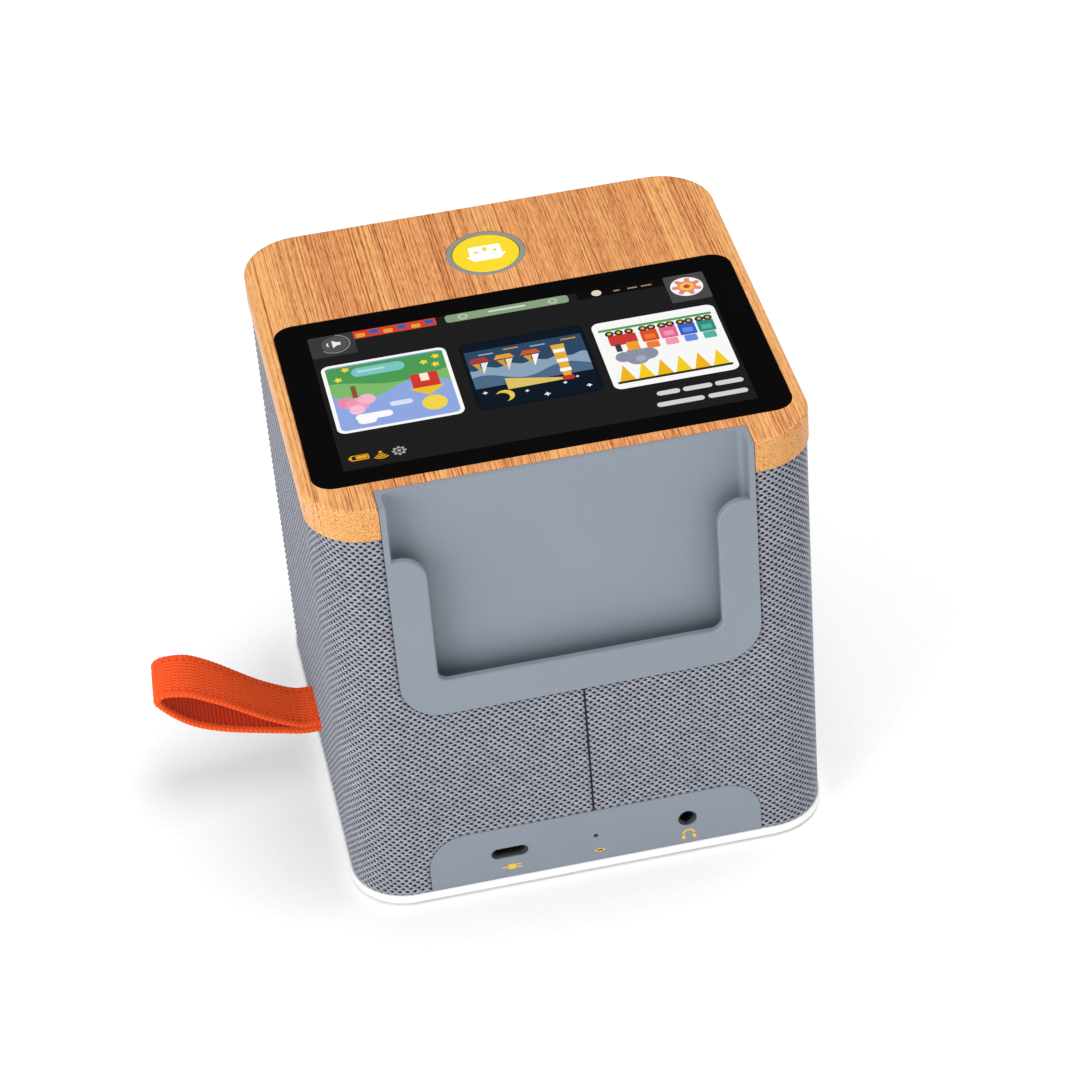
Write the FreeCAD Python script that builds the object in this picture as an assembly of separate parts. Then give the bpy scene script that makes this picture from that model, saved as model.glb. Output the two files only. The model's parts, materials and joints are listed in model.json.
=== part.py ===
import FreeCAD, Part

import math
import os

# Audio story player: a near-cubic speaker box for children. It has a bamboo top
# plate with a touch display and one round button, a fabric sleeve over a moulded
# shell, a card tray let into the back, a small port panel and a webbing loop.
# Millimetres. Origin: middle of the underside, on the table. +Z up. The user sits
# at -Y; the card tray and the ports face +Y; the webbing loop stands out to +X.

# ---------------------------------------------------------------- driving sizes
# Outer form
body_width = 116.0
body_depth = 116.0
body_height = 118.0
corner_radius = 14.0
plate_thickness = 8.0
plate_edge_round = 1.2
base_height = 3.1
base_edge_round = 0.8
cover_step = 0.4
sleeve_thickness = 1.0
shell_wall = 2.4

# Clearances
fit_gap = 0.15
moving_gap = 0.3

# Rubber mat under the base
mat_thickness = 1.3
mat_proud = 0.5
mat_margin = 3.5

# Display: glass set in from the plate's edges, module set in from the glass
glass_side_margin = 3.0
glass_back_margin = 10.8
glass_front_margin = 39.2
glass_thickness = 1.1
glass_corner = 5.0
tape_thickness = 0.3
tape_margin = 0.5
module_side_margin = 5.5
module_end_margin = 4.0
module_thickness = 2.8
window_gap = 0.5
window_corner = 2.0
frame_thickness = 1.6
frame_rim = 3.0
frame_corner = 2.0
frame_bar_width = 4.0
frame_relief = 24.0
front_rail_depth = 6.5
standoff_side_margin = 19.0
standoff_radius = 2.8
standoff_length = 8.0
standoff_to_frame_screw = 11.0

# Main board. Chips: place of the middle from the shield's, then width and depth
board_thickness = 1.6
board_side_margin = 3.0
board_corner = 2.0
shield_size = 26.0
shield_height = 2.4
shield_corner = 1.5
shield_edge = 0.5
chip_height = 1.1
chips = [(-21.5, 0.0, 11.0, 10.0), (19.5, 6.5, 7.0, 7.0), (19.0, -6.0, 6.0, 6.0)]
socket_height = 3.0
socket_width = 8.0
socket_depth = 6.0
speaker_socket_x = -20.0
battery_socket_inset = 10.0
port_socket_width = 12.0
port_socket_depth = 4.5
display_socket_width = 20.0
display_socket_depth = 2.2

# Button
button_from_front = 22.6
button_radius = 8.75
button_recess = 0.3
button_travel = 0.5
button_skin = 1.8
button_wall = 1.2
button_edge = 0.4
button_stem_radius = 2.0
catch_inset = 0.9
catch_thickness = 1.5
ring_outer_radius = 10.5
ring_edge = 0.3
ring_flange_radius = 11.8
ring_flange_thickness = 1.5
ring_shoulder_rise = 4.0
ring_seat_width = 1.2
housing_flange_thickness = 3.0
housing_flange_width = 1.2
housing_wall = 1.8
housing_floor = 1.5
housing_screw_x = 16.0
housing_ear_end = 3.0
housing_ear_width = 9.0
switch_board_thickness = 1.2
switch_size = 6.0
switch_height = 3.5
plunger_radius = 1.75
plunger_rise = 1.3
plunger_well = 1.2

# Card tray: set in from the sides, hung from the top
tray_side_margin = 15.6
tray_height = 61.0
tray_depth = 7.2
tray_corner = 10.0
tray_side_wall = 1.4
tray_back_wall = 1.2
tray_floor = 1.6
tray_lip = 1.6
lip_height = 9.7
lip_side_width = 9.1
lip_inner_corner = 2.6
lip_shoulder_drop = 15.3
lip_shoulder_radius = 6.0
lip_edge_round = 0.5
tray_inner_round = 1.4
lug_width = 10.0
lug_drop = 9.0
lug_thickness = 2.2
lug_x = 25.0

# Card reader board behind the tray
reader_half_width = 28.0
reader_height = 32.0
reader_rise = 4.0
reader_thickness = 1.2
reader_corner = 2.0
reader_boss_height = 1.6
reader_boss_radius = 2.2
reader_boss_inset = 4.0
reader_shank_radius = 0.8
reader_head_radius = 1.7
reader_chip_size = 6.0
header_x = 16.0
header_width = 12.0
header_depth = 2.5
header_overlap = 4.0

# Port panel and the board behind it
panel_side_margin = 17.6
panel_top = 18.7
panel_corner = 9.0
panel_skin = 2.0
panel_face_inset = 0.3
panel_foot_gap = 0.05
panel_rim_wall = 2.0
panel_flange = 2.0
panel_flange_thickness = 1.2
port_height = 10.9
usb_x = 21.0
usb_slot_width = 9.0
usb_slot_height = 3.2
usb_body_width = 8.9
usb_body_height = 3.3
usb_body_length = 7.4
usb_shell_wall = 0.35
usb_back_wall = 1.2
usb_tongue_thickness = 0.7
usb_tongue_margin = 1.2
usb_tongue_recess = 1.0
jack_x = -22.4
jack_hole_radius = 2.3
jack_bore_radius = 1.8
jack_body_width = 6.4
jack_body_height = 5.0
jack_body_length = 12.0
jack_nose_length = 1.0
jack_nose_wall = 0.8
jack_bore_floor = 1.0
set_x = 0.0
set_hole_radius = 0.6
set_travel = 0.25
set_plunger_radius = 0.85
set_plunger_gap = 0.8
set_well_depth = 1.5
set_body_inset = 0.2
set_body_width = 4.6
set_body_height = 3.4
set_body_length = 3.8
port_board_thickness = 1.2
port_board_left = -34.0
port_board_right = 31.0
port_board_depth = 13.0
port_board_corner = 1.5
port_post_radius = 2.6
port_flex_inset = 4.0

# Shell posts and base screws
tube_inset = 10.0
tube_radius = 5.0
tube_bore = 3.2
tube_web = 3.0
base_boss_radius = 4.0
base_boss_web = 4.0
base_boss_root = 0.6
base_boss_y = 28.0
base_boss_top = 22.0
base_boss_cap = 2.0
base_pad_rise = 2.4
tongue_thickness = 1.6
tongue_height = 3.0
tongue_half_length = 14.0

# Screws: a bite is how far the shank goes into the last piece
plate_screw_bite = 5.5
small_screw_bite = 5.0
tray_screw_bite = 1.8
reader_screw_bite = 0.6
speaker_screw_bite = 1.6
base_screw_slack = 4.0
pilot_slack = 0.5
pilot_skin = 0.4
tip_gap = 0.6
small_shank_radius = 1.0
small_head_radius = 1.9
small_head_height = 1.2
large_shank_radius = 1.4
large_head_radius = 2.5
large_head_height = 1.5

# Battery
cell_radius = 9.2
cell_length = 65.2
cell_spacing = 19.2
cell_edge = 0.5
cell_tip_radius = 3.0
cell_tip_length = 1.0
battery_y = -8.0
cradle_floor = 1.6
cradle_end_wall = 2.0
cradle_side_wall = 1.8
cradle_height = 8.9
ear_reach = 6.0
ear_height = 4.9
clamp_width = 12.0
clamp_thickness = 1.6
clamp_side_gap = 0.2
clamp_inner_bend = 1.0

# Speaker, sizes along its own axis counted from the inside of the front wall
speaker_height = 56.0
speaker_flange_half = 30.0
speaker_flange_corner = 6.0
speaker_flange_thickness = 1.5
speaker_screw_spread = 25.5
speaker_boss_radius = 2.6
gasket_thickness = 2.0
gasket_inner_radius = 24.6
gasket_outer_radius = 28.4
cone_edge_radius = 20.4
cone_thickness = 0.5
cone_depth = 8.8
cone_travel = 1.2
dust_cap_height = 3.0
cone_setback = 0.2
surround_skin = 0.45
coil_former_radius = 10.1
coil_former_wall = 0.5
coil_end_gap = 2.2
coil_winding = 0.3
coil_length = 4.5
coil_air = 0.4
basket_depth = 18.4
basket_wall = 1.2
basket_seat_width = 1.2
basket_shoulder = 2.5
basket_back_radius = 16.0
basket_windows = 4
basket_window_width = 13.0
basket_window_margin = 2.0
magnet_radius = 16.0
magnet_thickness = 7.0
pole_plate_thickness = 2.0
back_plate_thickness = 2.5
grille_slot_width = 2.4
grille_slot_pitch = 4.4
grille_radius = 23.0
grille_end_round = 0.98

# Webbing loop
strap_height = 14.2
strap_y = -4.0
strap_width = 15.0
strap_thickness = 1.6
strap_tail = 11.0
strap_clamp_thickness = 2.0
strap_clamp_corner = 1.5
strap_screw_gap = 3.4
strap_side_gap = 0.4
strap_shelf_thickness = 4.0
strap_path = [
    (3.0, -0.85), (8.0, 0.2), (14.0, 1.8), (20.0, 3.5), (25.0, 5.3), (30.0, 7.9),
    (34.0, 11.7), (36.9, 15.5), (37.5, 17.0), (36.6, 18.0), (34.0, 18.1),
    (30.5, 17.2), (26.5, 15.2), (22.0, 12.4), (17.2, 9.0), (12.4, 5.6),
    (8.0, 3.0), (3.0, 0.95),
]

# Wiring
flex_thickness = 0.3
display_flex_width = 18.0
button_flex_width = 8.0
port_flex_width = 10.0
wire_radius = 0.8
wire_x = -3.0

# ---------------------------------------------------------------- derived places
half_width = body_width / 2
half_depth = body_depth / 2
plate_bottom = body_height - plate_thickness

glass_width = body_width - 2 * glass_side_margin
glass_depth = body_depth - glass_back_margin - glass_front_margin
module_width = glass_width - 2 * module_side_margin
module_depth = glass_depth - 2 * module_end_margin
sleeve_inset = cover_step
shell_inset = cover_step + sleeve_thickness
cavity_inset = shell_inset + shell_wall
cavity_x = half_width - cavity_inset
cavity_y = half_depth - cavity_inset
shell_back = half_depth - shell_inset

glass_y = half_depth - glass_back_margin - glass_depth / 2
glass_bottom = body_height - glass_thickness
module_bottom = glass_bottom - module_thickness
window_x = module_width / 2 + window_gap
window_back = glass_y + module_depth / 2 + window_gap
window_front = glass_y - module_depth / 2 - window_gap
notch_y = half_depth - tray_depth - fit_gap

frame_bottom = plate_bottom - frame_thickness
standoff_x = half_width - standoff_side_margin
frame_screw_x = standoff_x - standoff_to_frame_screw
back_rail_y = (window_back + notch_y) / 2
front_rail_y = window_front - front_rail_depth / 2
board_top = frame_bottom - standoff_length
board_bottom = board_top - board_thickness
board_back = back_rail_y + standoff_radius
board_front = front_rail_y - standoff_radius
board_half_width = standoff_x + board_side_margin
board_middle = (board_front + board_back) / 2
display_flex_y = front_rail_y + front_rail_depth

button_y = button_from_front - half_depth
ring_inner_radius = button_radius + moving_gap
ring_shoulder = plate_bottom + ring_shoulder_rise
catch_radius = ring_outer_radius - catch_inset
housing_top = plate_bottom - housing_flange_thickness
housing_bore = ring_flange_radius - ring_seat_width
housing_radius = housing_bore + housing_wall
switch_board_bottom = board_top - switch_board_thickness
housing_bottom = switch_board_bottom - housing_floor
switch_top = board_top + switch_height
plunger_top = switch_top + plunger_rise

tray_half_width = half_width - tray_side_margin
tray_bottom = body_height - tray_height
tray_front = half_depth - tray_depth
pocket_front = tray_front + tray_back_wall
pocket_back = half_depth - tray_lip
pocket_floor = tray_bottom + tray_floor
pocket_half_width = tray_half_width - tray_side_wall
lip_half_opening = tray_half_width - lip_side_width
lip_shoulder_top = body_height - lip_shoulder_drop
reader_bottom = tray_bottom + reader_rise
reader_back = tray_front - reader_boss_height
reader_front = reader_back - reader_thickness

panel_half_width = half_width - panel_side_margin
panel_face = half_depth - panel_face_inset
panel_inner = panel_face - panel_skin
port_mouth = panel_inner - fit_gap
port_board_top = port_height - usb_body_height / 2
port_board_bottom = port_board_top - port_board_thickness
port_board_back = cavity_y - panel_flange_thickness - fit_gap
port_board_front = port_board_back - port_board_depth
port_flex_y = port_board_front + port_flex_inset
set_body_back = port_board_back - set_body_inset
port_posts = [
    (x, port_board_front + port_post_radius)
    for x in (port_board_left + port_post_radius, port_board_right - port_post_radius)
]

tube_x = half_width - tube_inset
tube_y = half_depth - tube_inset
base_screw_x = cavity_x - base_boss_radius + base_boss_root
base_pad_top = base_height + base_pad_rise
base_screw_places = [
    (sx * base_screw_x, sy * base_boss_y) for sx in (-1, 1) for sy in (-1, 1)
]
tube_places = [(sx * tube_x, sy * tube_y) for sx in (-1, 1) for sy in (-1, 1)]

cell_z = base_height + cradle_floor + cell_radius
cell_y = [battery_y - cell_spacing / 2, battery_y + cell_spacing / 2]
cradle_half_length = cell_length / 2 + fit_gap + cradle_end_wall
cradle_half_width = cell_spacing / 2 + cell_radius + cradle_side_wall
cradle_top = base_height + cradle_height
ear_top = base_height + ear_height
clamp_inner = cradle_half_width + clamp_side_gap

flange_front = gasket_thickness
flange_back = flange_front + speaker_flange_thickness
cone_front = gasket_thickness + cone_setback
surround_outer = gasket_inner_radius - basket_seat_width
magnet_front = basket_depth + pole_plate_thickness
magnet_back = magnet_front + magnet_thickness
coil_former_end = magnet_back - cone_travel - coil_end_gap
pole_radius = coil_former_radius - coil_former_wall - coil_air
gap_radius = coil_former_radius + coil_winding + coil_air
speaker_screw_places = [
    (sx * speaker_screw_spread, sy * speaker_screw_spread)
    for sx in (-1, 1) for sy in (-1, 1)
]

strap_root_half = strap_thickness - 0.05
strap_inner_x = half_width - strap_tail
shelf_top = strap_height - strap_root_half
clamp_bottom = strap_height + strap_root_half
strap_half_width = strap_width / 2
strap_screw_y = [strap_y + s * (strap_half_width + strap_screw_gap) for s in (-1, 1)]
shelf_half_length = strap_half_width + 2 * strap_screw_gap
shelf_bottom = shelf_top - strap_shelf_thickness
clamp_x = (strap_inner_x + half_width - cavity_inset) / 2
socket_bottom = board_bottom - socket_height
speaker_socket_y = board_front + 1 + socket_depth / 2
battery_socket_x = board_half_width - battery_socket_inset


# ---------------------------------------------------------------- shape helpers
def vector(x, y, z):
    return FreeCAD.Vector(x, y, z)


def rectangle(x_low, x_high, y_low, y_high, radius=0.0):
    """Corners of a rectangle, each with the same rounding radius."""
    return [
        (x_low, y_low, radius),
        (x_high, y_low, radius),
        (x_high, y_high, radius),
        (x_low, y_high, radius),
    ]


def centred(half_x, half_y, radius=0.0, x=0.0, y=0.0):
    """Corners of a rectangle about the point x, y."""
    return rectangle(x - half_x, x + half_x, y - half_y, y + half_y, radius)


def rounded_wire(corners):
    """Closed wire through (x, y, radius) corners, tangent arcs where radius > 0."""
    starts, ends, arcs = [], [], []
    total = len(corners)
    for index, (x, y, radius) in enumerate(corners):
        here = vector(x, y, 0)
        before = vector(corners[index - 1][0], corners[index - 1][1], 0) - here
        after_corner = corners[(index + 1) % total]
        after = vector(after_corner[0], after_corner[1], 0) - here
        before.normalize()
        after.normalize()
        if radius <= 0:
            starts.append(here)
            ends.append(here)
            arcs.append(None)
            continue
        half_angle = before.getAngle(after) / 2
        reach = radius / math.tan(half_angle)
        bisector = before + after
        bisector.normalize()
        middle = here + bisector * (radius / math.sin(half_angle) - radius)
        starts.append(here + before * reach)
        ends.append(here + after * reach)
        arcs.append(Part.Arc(starts[-1], middle, ends[-1]).toShape())
    edges = []
    for index in range(total):
        if arcs[index] is not None:
            edges.append(arcs[index])
        line_start = ends[index]
        line_end = starts[(index + 1) % total]
        if (line_end - line_start).Length > 1e-6:
            edges.append(Part.makeLine(line_start, line_end))
    return Part.Wire(edges)


def slab(corners, low, high):
    """Outline in the XY plane, raised from z = low to z = high."""
    solid = Part.Face(rounded_wire(corners)).extrude(vector(0, 0, high - low))
    solid.translate(vector(0, 0, low))
    return solid


def back_slab(corners, y_low, y_high):
    """Outline in x and z, as seen from the back, reaching from y_low to y_high."""
    solid = slab(corners, -y_high, -y_low)
    solid.rotate(vector(0, 0, 0), vector(1, 0, 0), 90)
    return solid


def side_slab(corners, x_low, x_high):
    """Outline in y and z, as seen from the side, reaching from x_low to x_high."""
    solid = slab(corners, x_low, x_high)
    solid.rotate(vector(0, 0, 0), vector(1, 1, 1), 120)
    return solid


def box(x_low, x_high, y_low, y_high, z_low, z_high):
    size = (x_high - x_low, y_high - y_low, z_high - z_low)
    return Part.makeBox(*size, vector(x_low, y_low, z_low))


def post(radius, low, high, x=0.0, y=0.0):
    """Upright cylinder."""
    return Part.makeCylinder(radius, high - low, vector(x, y, low))


def bar_y(radius, y_low, y_high, x, z):
    """Cylinder along Y."""
    return Part.makeCylinder(radius, y_high - y_low, vector(x, y_low, z), vector(0, 1, 0))


def bar_x(radius, x_low, x_high, y, z):
    """Cylinder along X."""
    return Part.makeCylinder(radius, x_high - x_low, vector(x_low, y, z), vector(1, 0, 0))


def turned(profile, x=0.0, y=0.0):
    """Solid of revolution about an upright axis from (radius, z) points."""
    points = [vector(radius, 0, z) for radius, z in profile]
    face = Part.Face(Part.makePolygon(points + points[:1]))
    solid = face.revolve(vector(0, 0, 0), vector(0, 0, 1), 360)
    solid.translate(vector(x, y, 0))
    return solid


def fuse(first, *others):
    return first.fuse(list(others)).removeSplitter() if others else first


def cut(first, *others):
    return first.cut(list(others))


def group(solids):
    return Part.makeCompound(solids)


def screw(length, shank_radius, head_radius, head_height):
    """Cross-head screw: the head's seat is at z = 0 and the shank points up."""
    body = turned([
        (0, -head_height), (head_radius * 0.75, -head_height),
        (head_radius, -head_height * 0.6), (head_radius, 0), (shank_radius, 0),
        (shank_radius, length - shank_radius), (shank_radius * 0.3, length), (0, length),
    ])
    arm = head_radius * 0.55
    arm_half = head_radius * 0.13
    depth = head_height * 0.45
    cross = [
        box(-arm, arm, -arm_half, arm_half, -head_height, -depth),
        box(-arm_half, arm_half, -arm, arm, -head_height, -depth),
    ]
    return cut(body, *cross)


def small_screw(length):
    return screw(length, small_shank_radius, small_head_radius, small_head_height)


def large_screw(length):
    return screw(length, large_shank_radius, large_head_radius, large_head_height)


def aimed(solid, place, direction):
    """Turns a solid's +Z to a direction and moves its origin to a place."""
    turn = FreeCAD.Rotation(vector(0, 0, 1), vector(*direction))
    copy = solid.copy()
    copy.Placement = FreeCAD.Placement(vector(*place), turn).multiply(solid.Placement)
    return copy


def save(name, solid):
    solid.exportStep("parts/" + name + ".step")


# ---------------------------------------------------------------- base
def body_outline(inset):
    """Plan outline of the box, moved inwards by an inset."""
    return centred(half_width - inset, half_depth - inset, corner_radius - inset)


def base_cover():
    """Plate that closes the box from below, with tongues, pads and port posts."""
    plate = slab(body_outline(0), mat_proud, base_height)
    low_edges = [edge for edge in plate.Edges if edge.BoundBox.ZMax < mat_proud + 1e-3]
    plate = plate.makeFillet(base_edge_round, low_edges)
    mat_seat = slab(body_outline(mat_margin - fit_gap), mat_proud - 1, mat_thickness)
    tongue_outer = cavity_x - fit_gap
    tongue_top = base_height + tongue_height
    tongues = [
        box(
            side * tongue_outer - (tongue_thickness if side > 0 else 0),
            side * tongue_outer + (tongue_thickness if side < 0 else 0),
            -tongue_half_length, tongue_half_length, base_height, tongue_top,
        )
        for side in (-1, 1)
    ]
    front = -cavity_y + fit_gap
    tongues.append(box(
        -tongue_half_length, tongue_half_length,
        front, front + tongue_thickness, base_height, tongue_top,
    ))
    pad_radius = cavity_x - fit_gap - base_screw_x
    pads = [post(pad_radius, base_height, base_pad_top, x, y) for x, y in base_screw_places]
    posts = [post(port_post_radius, base_height, port_board_bottom, x, y) for x, y in port_posts]
    holes = [post(small_shank_radius, base_height, port_board_bottom, x, y) for x, y in port_posts]
    for x, y in base_screw_places:
        holes.append(post(large_shank_radius + fit_gap, 0, base_pad_top, x, y))
        holes.append(post(
            large_head_radius + fit_gap, 0, mat_thickness + large_head_height, x, y,
        ))
    return cut(fuse(plate, *tongues, *pads, *posts), mat_seat, *holes)


def rubber_mat():
    """Grip mat let into the base; the box stands on it."""
    mat = slab(body_outline(mat_margin), 0, mat_thickness)
    low_edges = [edge for edge in mat.Edges if edge.BoundBox.ZMax < 1e-3]
    return mat.makeChamfer(mat_proud / 2, low_edges)


def base_screws():
    seat = mat_thickness + large_head_height
    one = large_screw(base_boss_top - base_boss_cap - base_screw_slack - seat)
    return group([aimed(one, (x, y, seat), (0, 0, 1)) for x, y in base_screw_places])


# ---------------------------------------------------------------- shell and sleeve
def tray_outline(gap, top):
    """Outline of the card tray seen from the back, grown by a gap."""
    side = tray_half_width + gap
    low = tray_bottom - gap
    return [
        (-side, low, tray_corner + gap), (side, low, tray_corner + gap),
        (side, top, 0), (-side, top, 0),
    ]


def panel_outline(gap, low):
    """Outline of the port panel seen from the back, grown by a gap."""
    side = panel_half_width + gap
    high = panel_top + gap
    return [
        (-side, low, 0), (side, low, 0),
        (side, high, panel_corner + gap), (-side, high, panel_corner + gap),
    ]


def strap_slot(gap, x_low, x_high):
    """Slot in the side for the two layers of webbing."""
    half = strap_half_width + gap
    rise = strap_root_half + gap
    return box(
        x_low, x_high, strap_y - half, strap_y + half,
        strap_height - rise, strap_height + rise,
    )


def speaker_grille():
    """Upright sound slots in the front wall, trimmed to a circle."""
    slots = []
    count = int(grille_radius // grille_slot_pitch)
    half = grille_slot_width / 2
    for index in range(-count, count + 1):
        x = index * grille_slot_pitch
        reach = math.sqrt(grille_radius ** 2 - x ** 2)
        outline = centred(half, reach, half * grille_end_round, x, speaker_height)
        slots.append(back_slab(outline, -half_depth, -cavity_y + 1))
    return slots


def base_boss(x, y):
    """Screw boss standing against a side wall of the shell."""
    reach = math.copysign(cavity_x + shell_wall / 2, x)
    half = base_boss_web / 2
    web = box(
        min(x, reach), max(x, reach), y - half, y + half, base_pad_top, base_boss_top,
    )
    return fuse(post(base_boss_radius, base_pad_top, base_boss_top, x, y), web)


def strap_shelf():
    """Ledge inside the side wall that the webbing is clamped down on."""
    outer_x = cavity_x + shell_wall / 2
    ledge = box(
        strap_inner_x, outer_x, strap_y - shelf_half_length,
        strap_y + shelf_half_length, shelf_bottom, clamp_bottom,
    )
    bed_half = strap_half_width + strap_side_gap
    bed = box(
        strap_inner_x - 1, outer_x + 1, strap_y - bed_half, strap_y + bed_half,
        shelf_top, clamp_bottom + 1,
    )
    return cut(ledge, bed)


def body_shell():
    """Moulded inner housing: four walls, driver tubes, bosses and openings."""
    walls = cut(
        slab(body_outline(shell_inset), base_height, plate_bottom),
        slab(body_outline(cavity_inset), base_height - 1, plate_bottom + 1),
    )
    tubes = [post(tube_radius, base_height, plate_bottom, x, y) for x, y in tube_places]
    bosses = [base_boss(x, y) for x, y in base_screw_places]
    speaker_bosses = [
        bar_y(
            speaker_boss_radius, -cavity_y - shell_wall / 2, -cavity_y + gasket_thickness,
            x, speaker_height + z,
        )
        for x, z in speaker_screw_places
    ]
    shell = fuse(walls, *tubes, *bosses, *speaker_bosses, strap_shelf())
    openings = speaker_grille()
    openings.append(back_slab(
        tray_outline(fit_gap, plate_bottom + 1), cavity_y - 1, half_depth,
    ))
    openings.append(back_slab(
        panel_outline(fit_gap, base_height - 1), cavity_y - 1, half_depth,
    ))
    openings.append(strap_slot(fit_gap, cavity_x - 0.5, half_width))
    for x, y in tube_places:
        openings.append(post(tube_bore, 0, plate_bottom - tube_web, x, y))
        openings.append(post(large_shank_radius + fit_gap, 0, body_height, x, y))
    for x, y in base_screw_places:
        openings.append(post(large_shank_radius, 0, base_boss_top - base_boss_cap, x, y))
    for x, z in speaker_screw_places:
        openings.append(bar_y(
            small_shank_radius, -cavity_y - speaker_screw_bite - pilot_skin / 2, 0,
            x, speaker_height + z,
        ))
    for x in (-lug_x, lug_x):
        openings.append(bar_y(
            small_shank_radius, 0, shell_back - pilot_skin, x, tray_bottom - lug_drop / 2,
        ))
    for y in strap_screw_y:
        openings.append(post(
            small_shank_radius, shelf_bottom + tip_gap, clamp_bottom + 1, clamp_x, y,
        ))
    return cut(shell, *openings)


def fabric_sleeve():
    """Cloth wrapped round the shell and closed by a butt seam down the back."""
    sleeve = cut(
        slab(body_outline(sleeve_inset), base_height, plate_bottom),
        slab(body_outline(shell_inset), base_height - 1, plate_bottom + 1),
    )
    seam = box(-0.2, 0.2, cavity_y, half_depth, base_height, tray_bottom + 1)
    return cut(
        sleeve,
        back_slab(tray_outline(fit_gap, plate_bottom + 1), cavity_y, half_depth),
        back_slab(panel_outline(fit_gap, base_height - 1), cavity_y, half_depth),
        strap_slot(fit_gap, cavity_x, half_width),
        seam,
    )


# ---------------------------------------------------------------- top plate
def window_outline(gap):
    middle = (window_back + window_front) / 2
    half = (window_back - window_front) / 2
    return centred(window_x - gap, half - gap, max(window_corner - gap, 0.3), 0, middle)


def frame_screw_places():
    return [
        (sx * frame_screw_x, y) for sx in (-1, 1) for y in (front_rail_y, back_rail_y)
    ]


def standoff_places():
    return [(sx * standoff_x, y) for sx in (-1, 1) for y in (front_rail_y, back_rail_y)]


def housing_screw_places():
    return [(sx * housing_screw_x, button_y) for sx in (-1, 1)]


def top_plate():
    """Bamboo plate with the glass recess, display window, button hole and notch."""
    plate = slab(body_outline(0), plate_bottom, body_height)
    top_edges = [
        edge for edge in plate.Edges if edge.BoundBox.ZMin > body_height - 1e-3
    ]
    plate = plate.makeFillet(plate_edge_round, top_edges)
    recess = slab(
        centred(
            glass_width / 2 + fit_gap, glass_depth / 2 + fit_gap, glass_corner, 0, glass_y,
        ),
        glass_bottom - tape_thickness, body_height + 1,
    )
    window = slab(window_outline(0), plate_bottom - 1, body_height)
    hole = post(ring_outer_radius + fit_gap, plate_bottom - 1, body_height + 1, 0, button_y)
    notch = box(
        -tray_half_width - fit_gap, tray_half_width + fit_gap,
        notch_y, half_depth + 1, plate_bottom - 1, body_height + 1,
    )
    pilots = [
        post(
            large_shank_radius, plate_bottom - 1,
            plate_bottom + plate_screw_bite + pilot_slack, x, y,
        )
        for x, y in tube_places
    ]
    for x, y in frame_screw_places() + housing_screw_places():
        pilots.append(post(
            small_shank_radius, plate_bottom - 1,
            plate_bottom + small_screw_bite + pilot_slack, x, y,
        ))
    return cut(plate, recess, window, hole, notch, *pilots)


def plate_screws():
    one = large_screw(tube_web + plate_screw_bite)
    seat = plate_bottom - tube_web
    return group([aimed(one, (x, y, seat), (0, 0, 1)) for x, y in tube_places])


# ---------------------------------------------------------------- display
def display_glass():
    corners = centred(glass_width / 2, glass_depth / 2, glass_corner - fit_gap, 0, glass_y)
    return slab(corners, glass_bottom, body_height)


def display_tape():
    """Adhesive ring between the glass and the ledge of its recess."""
    outer = centred(
        glass_width / 2 - tape_margin, glass_depth / 2 - tape_margin,
        glass_corner - tape_margin, 0, glass_y,
    )
    ring = slab(outer, glass_bottom - tape_thickness, glass_bottom)
    return cut(ring, slab(window_outline(-0.2), glass_bottom - 1, body_height))


def display_module():
    """Display panel with its metal tray, bonded to the underside of the glass."""
    corner = window_corner - window_gap
    outline = centred(module_width / 2, module_depth / 2, corner, 0, glass_y)
    return slab(outline, module_bottom, glass_bottom)


def display_frame():
    """Frame that backs the display and carries the main board on standoffs."""
    middle = (window_back + window_front) / 2
    rear_edge = notch_y - fit_gap
    flange = slab(
        rectangle(
            -standoff_x - standoff_radius, standoff_x + standoff_radius,
            window_front - front_rail_depth, rear_edge, frame_corner,
        ),
        frame_bottom, plate_bottom,
    )
    rim = slab(window_outline(fit_gap), plate_bottom, module_bottom)
    opening = slab(window_outline(frame_rim), frame_bottom - 1, module_bottom + 1)
    bar_half = frame_bar_width / 2
    bars = [
        box(x - bar_half, x + bar_half, window_front, window_back, frame_bottom, module_bottom)
        for x in (-frame_screw_x, frame_screw_x)
    ]
    standoffs = [
        post(standoff_radius, board_top, frame_bottom, x, y) for x, y in standoff_places()
    ]
    pilots = [
        post(small_shank_radius, board_top - 1, frame_bottom, x, y)
        for x, y in standoff_places()
    ]
    for x, y in frame_screw_places():
        pilots.append(post(small_shank_radius + fit_gap, 0, plate_bottom + 1, x, y))
    side_relief = [
        box(
            x - frame_rim, x + frame_rim, middle - frame_relief / 2, middle + frame_relief / 2,
            plate_bottom, module_bottom + 1,
        )
        for x in (-window_x, window_x)
    ]
    frame = fuse(cut(fuse(flange, rim), opening), *bars, *standoffs)
    return cut(frame, *pilots, *side_relief)


def frame_screws():
    one = small_screw(frame_thickness + small_screw_bite)
    return group([
        aimed(one, (x, y, frame_bottom), (0, 0, 1)) for x, y in frame_screw_places()
    ])


def display_flex():
    """Flat cable from the display down to its socket on the main board."""
    half = display_flex_width / 2
    y = display_flex_y
    return box(-half, half, y, y + flex_thickness, board_top + chip_height, module_bottom)


# ---------------------------------------------------------------- main board
def main_board():
    board = slab(
        rectangle(-board_half_width, board_half_width, board_front, board_back, board_corner),
        board_bottom, board_top,
    )
    holes = [
        post(small_shank_radius + fit_gap, board_bottom - 1, board_top + 1, x, y)
        for x, y in standoff_places()
    ]
    return cut(board, *holes)


def board_screws():
    one = small_screw(board_thickness + small_screw_bite)
    return group([
        aimed(one, (x, y, board_bottom), (0, 0, 1)) for x, y in standoff_places()
    ])


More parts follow.
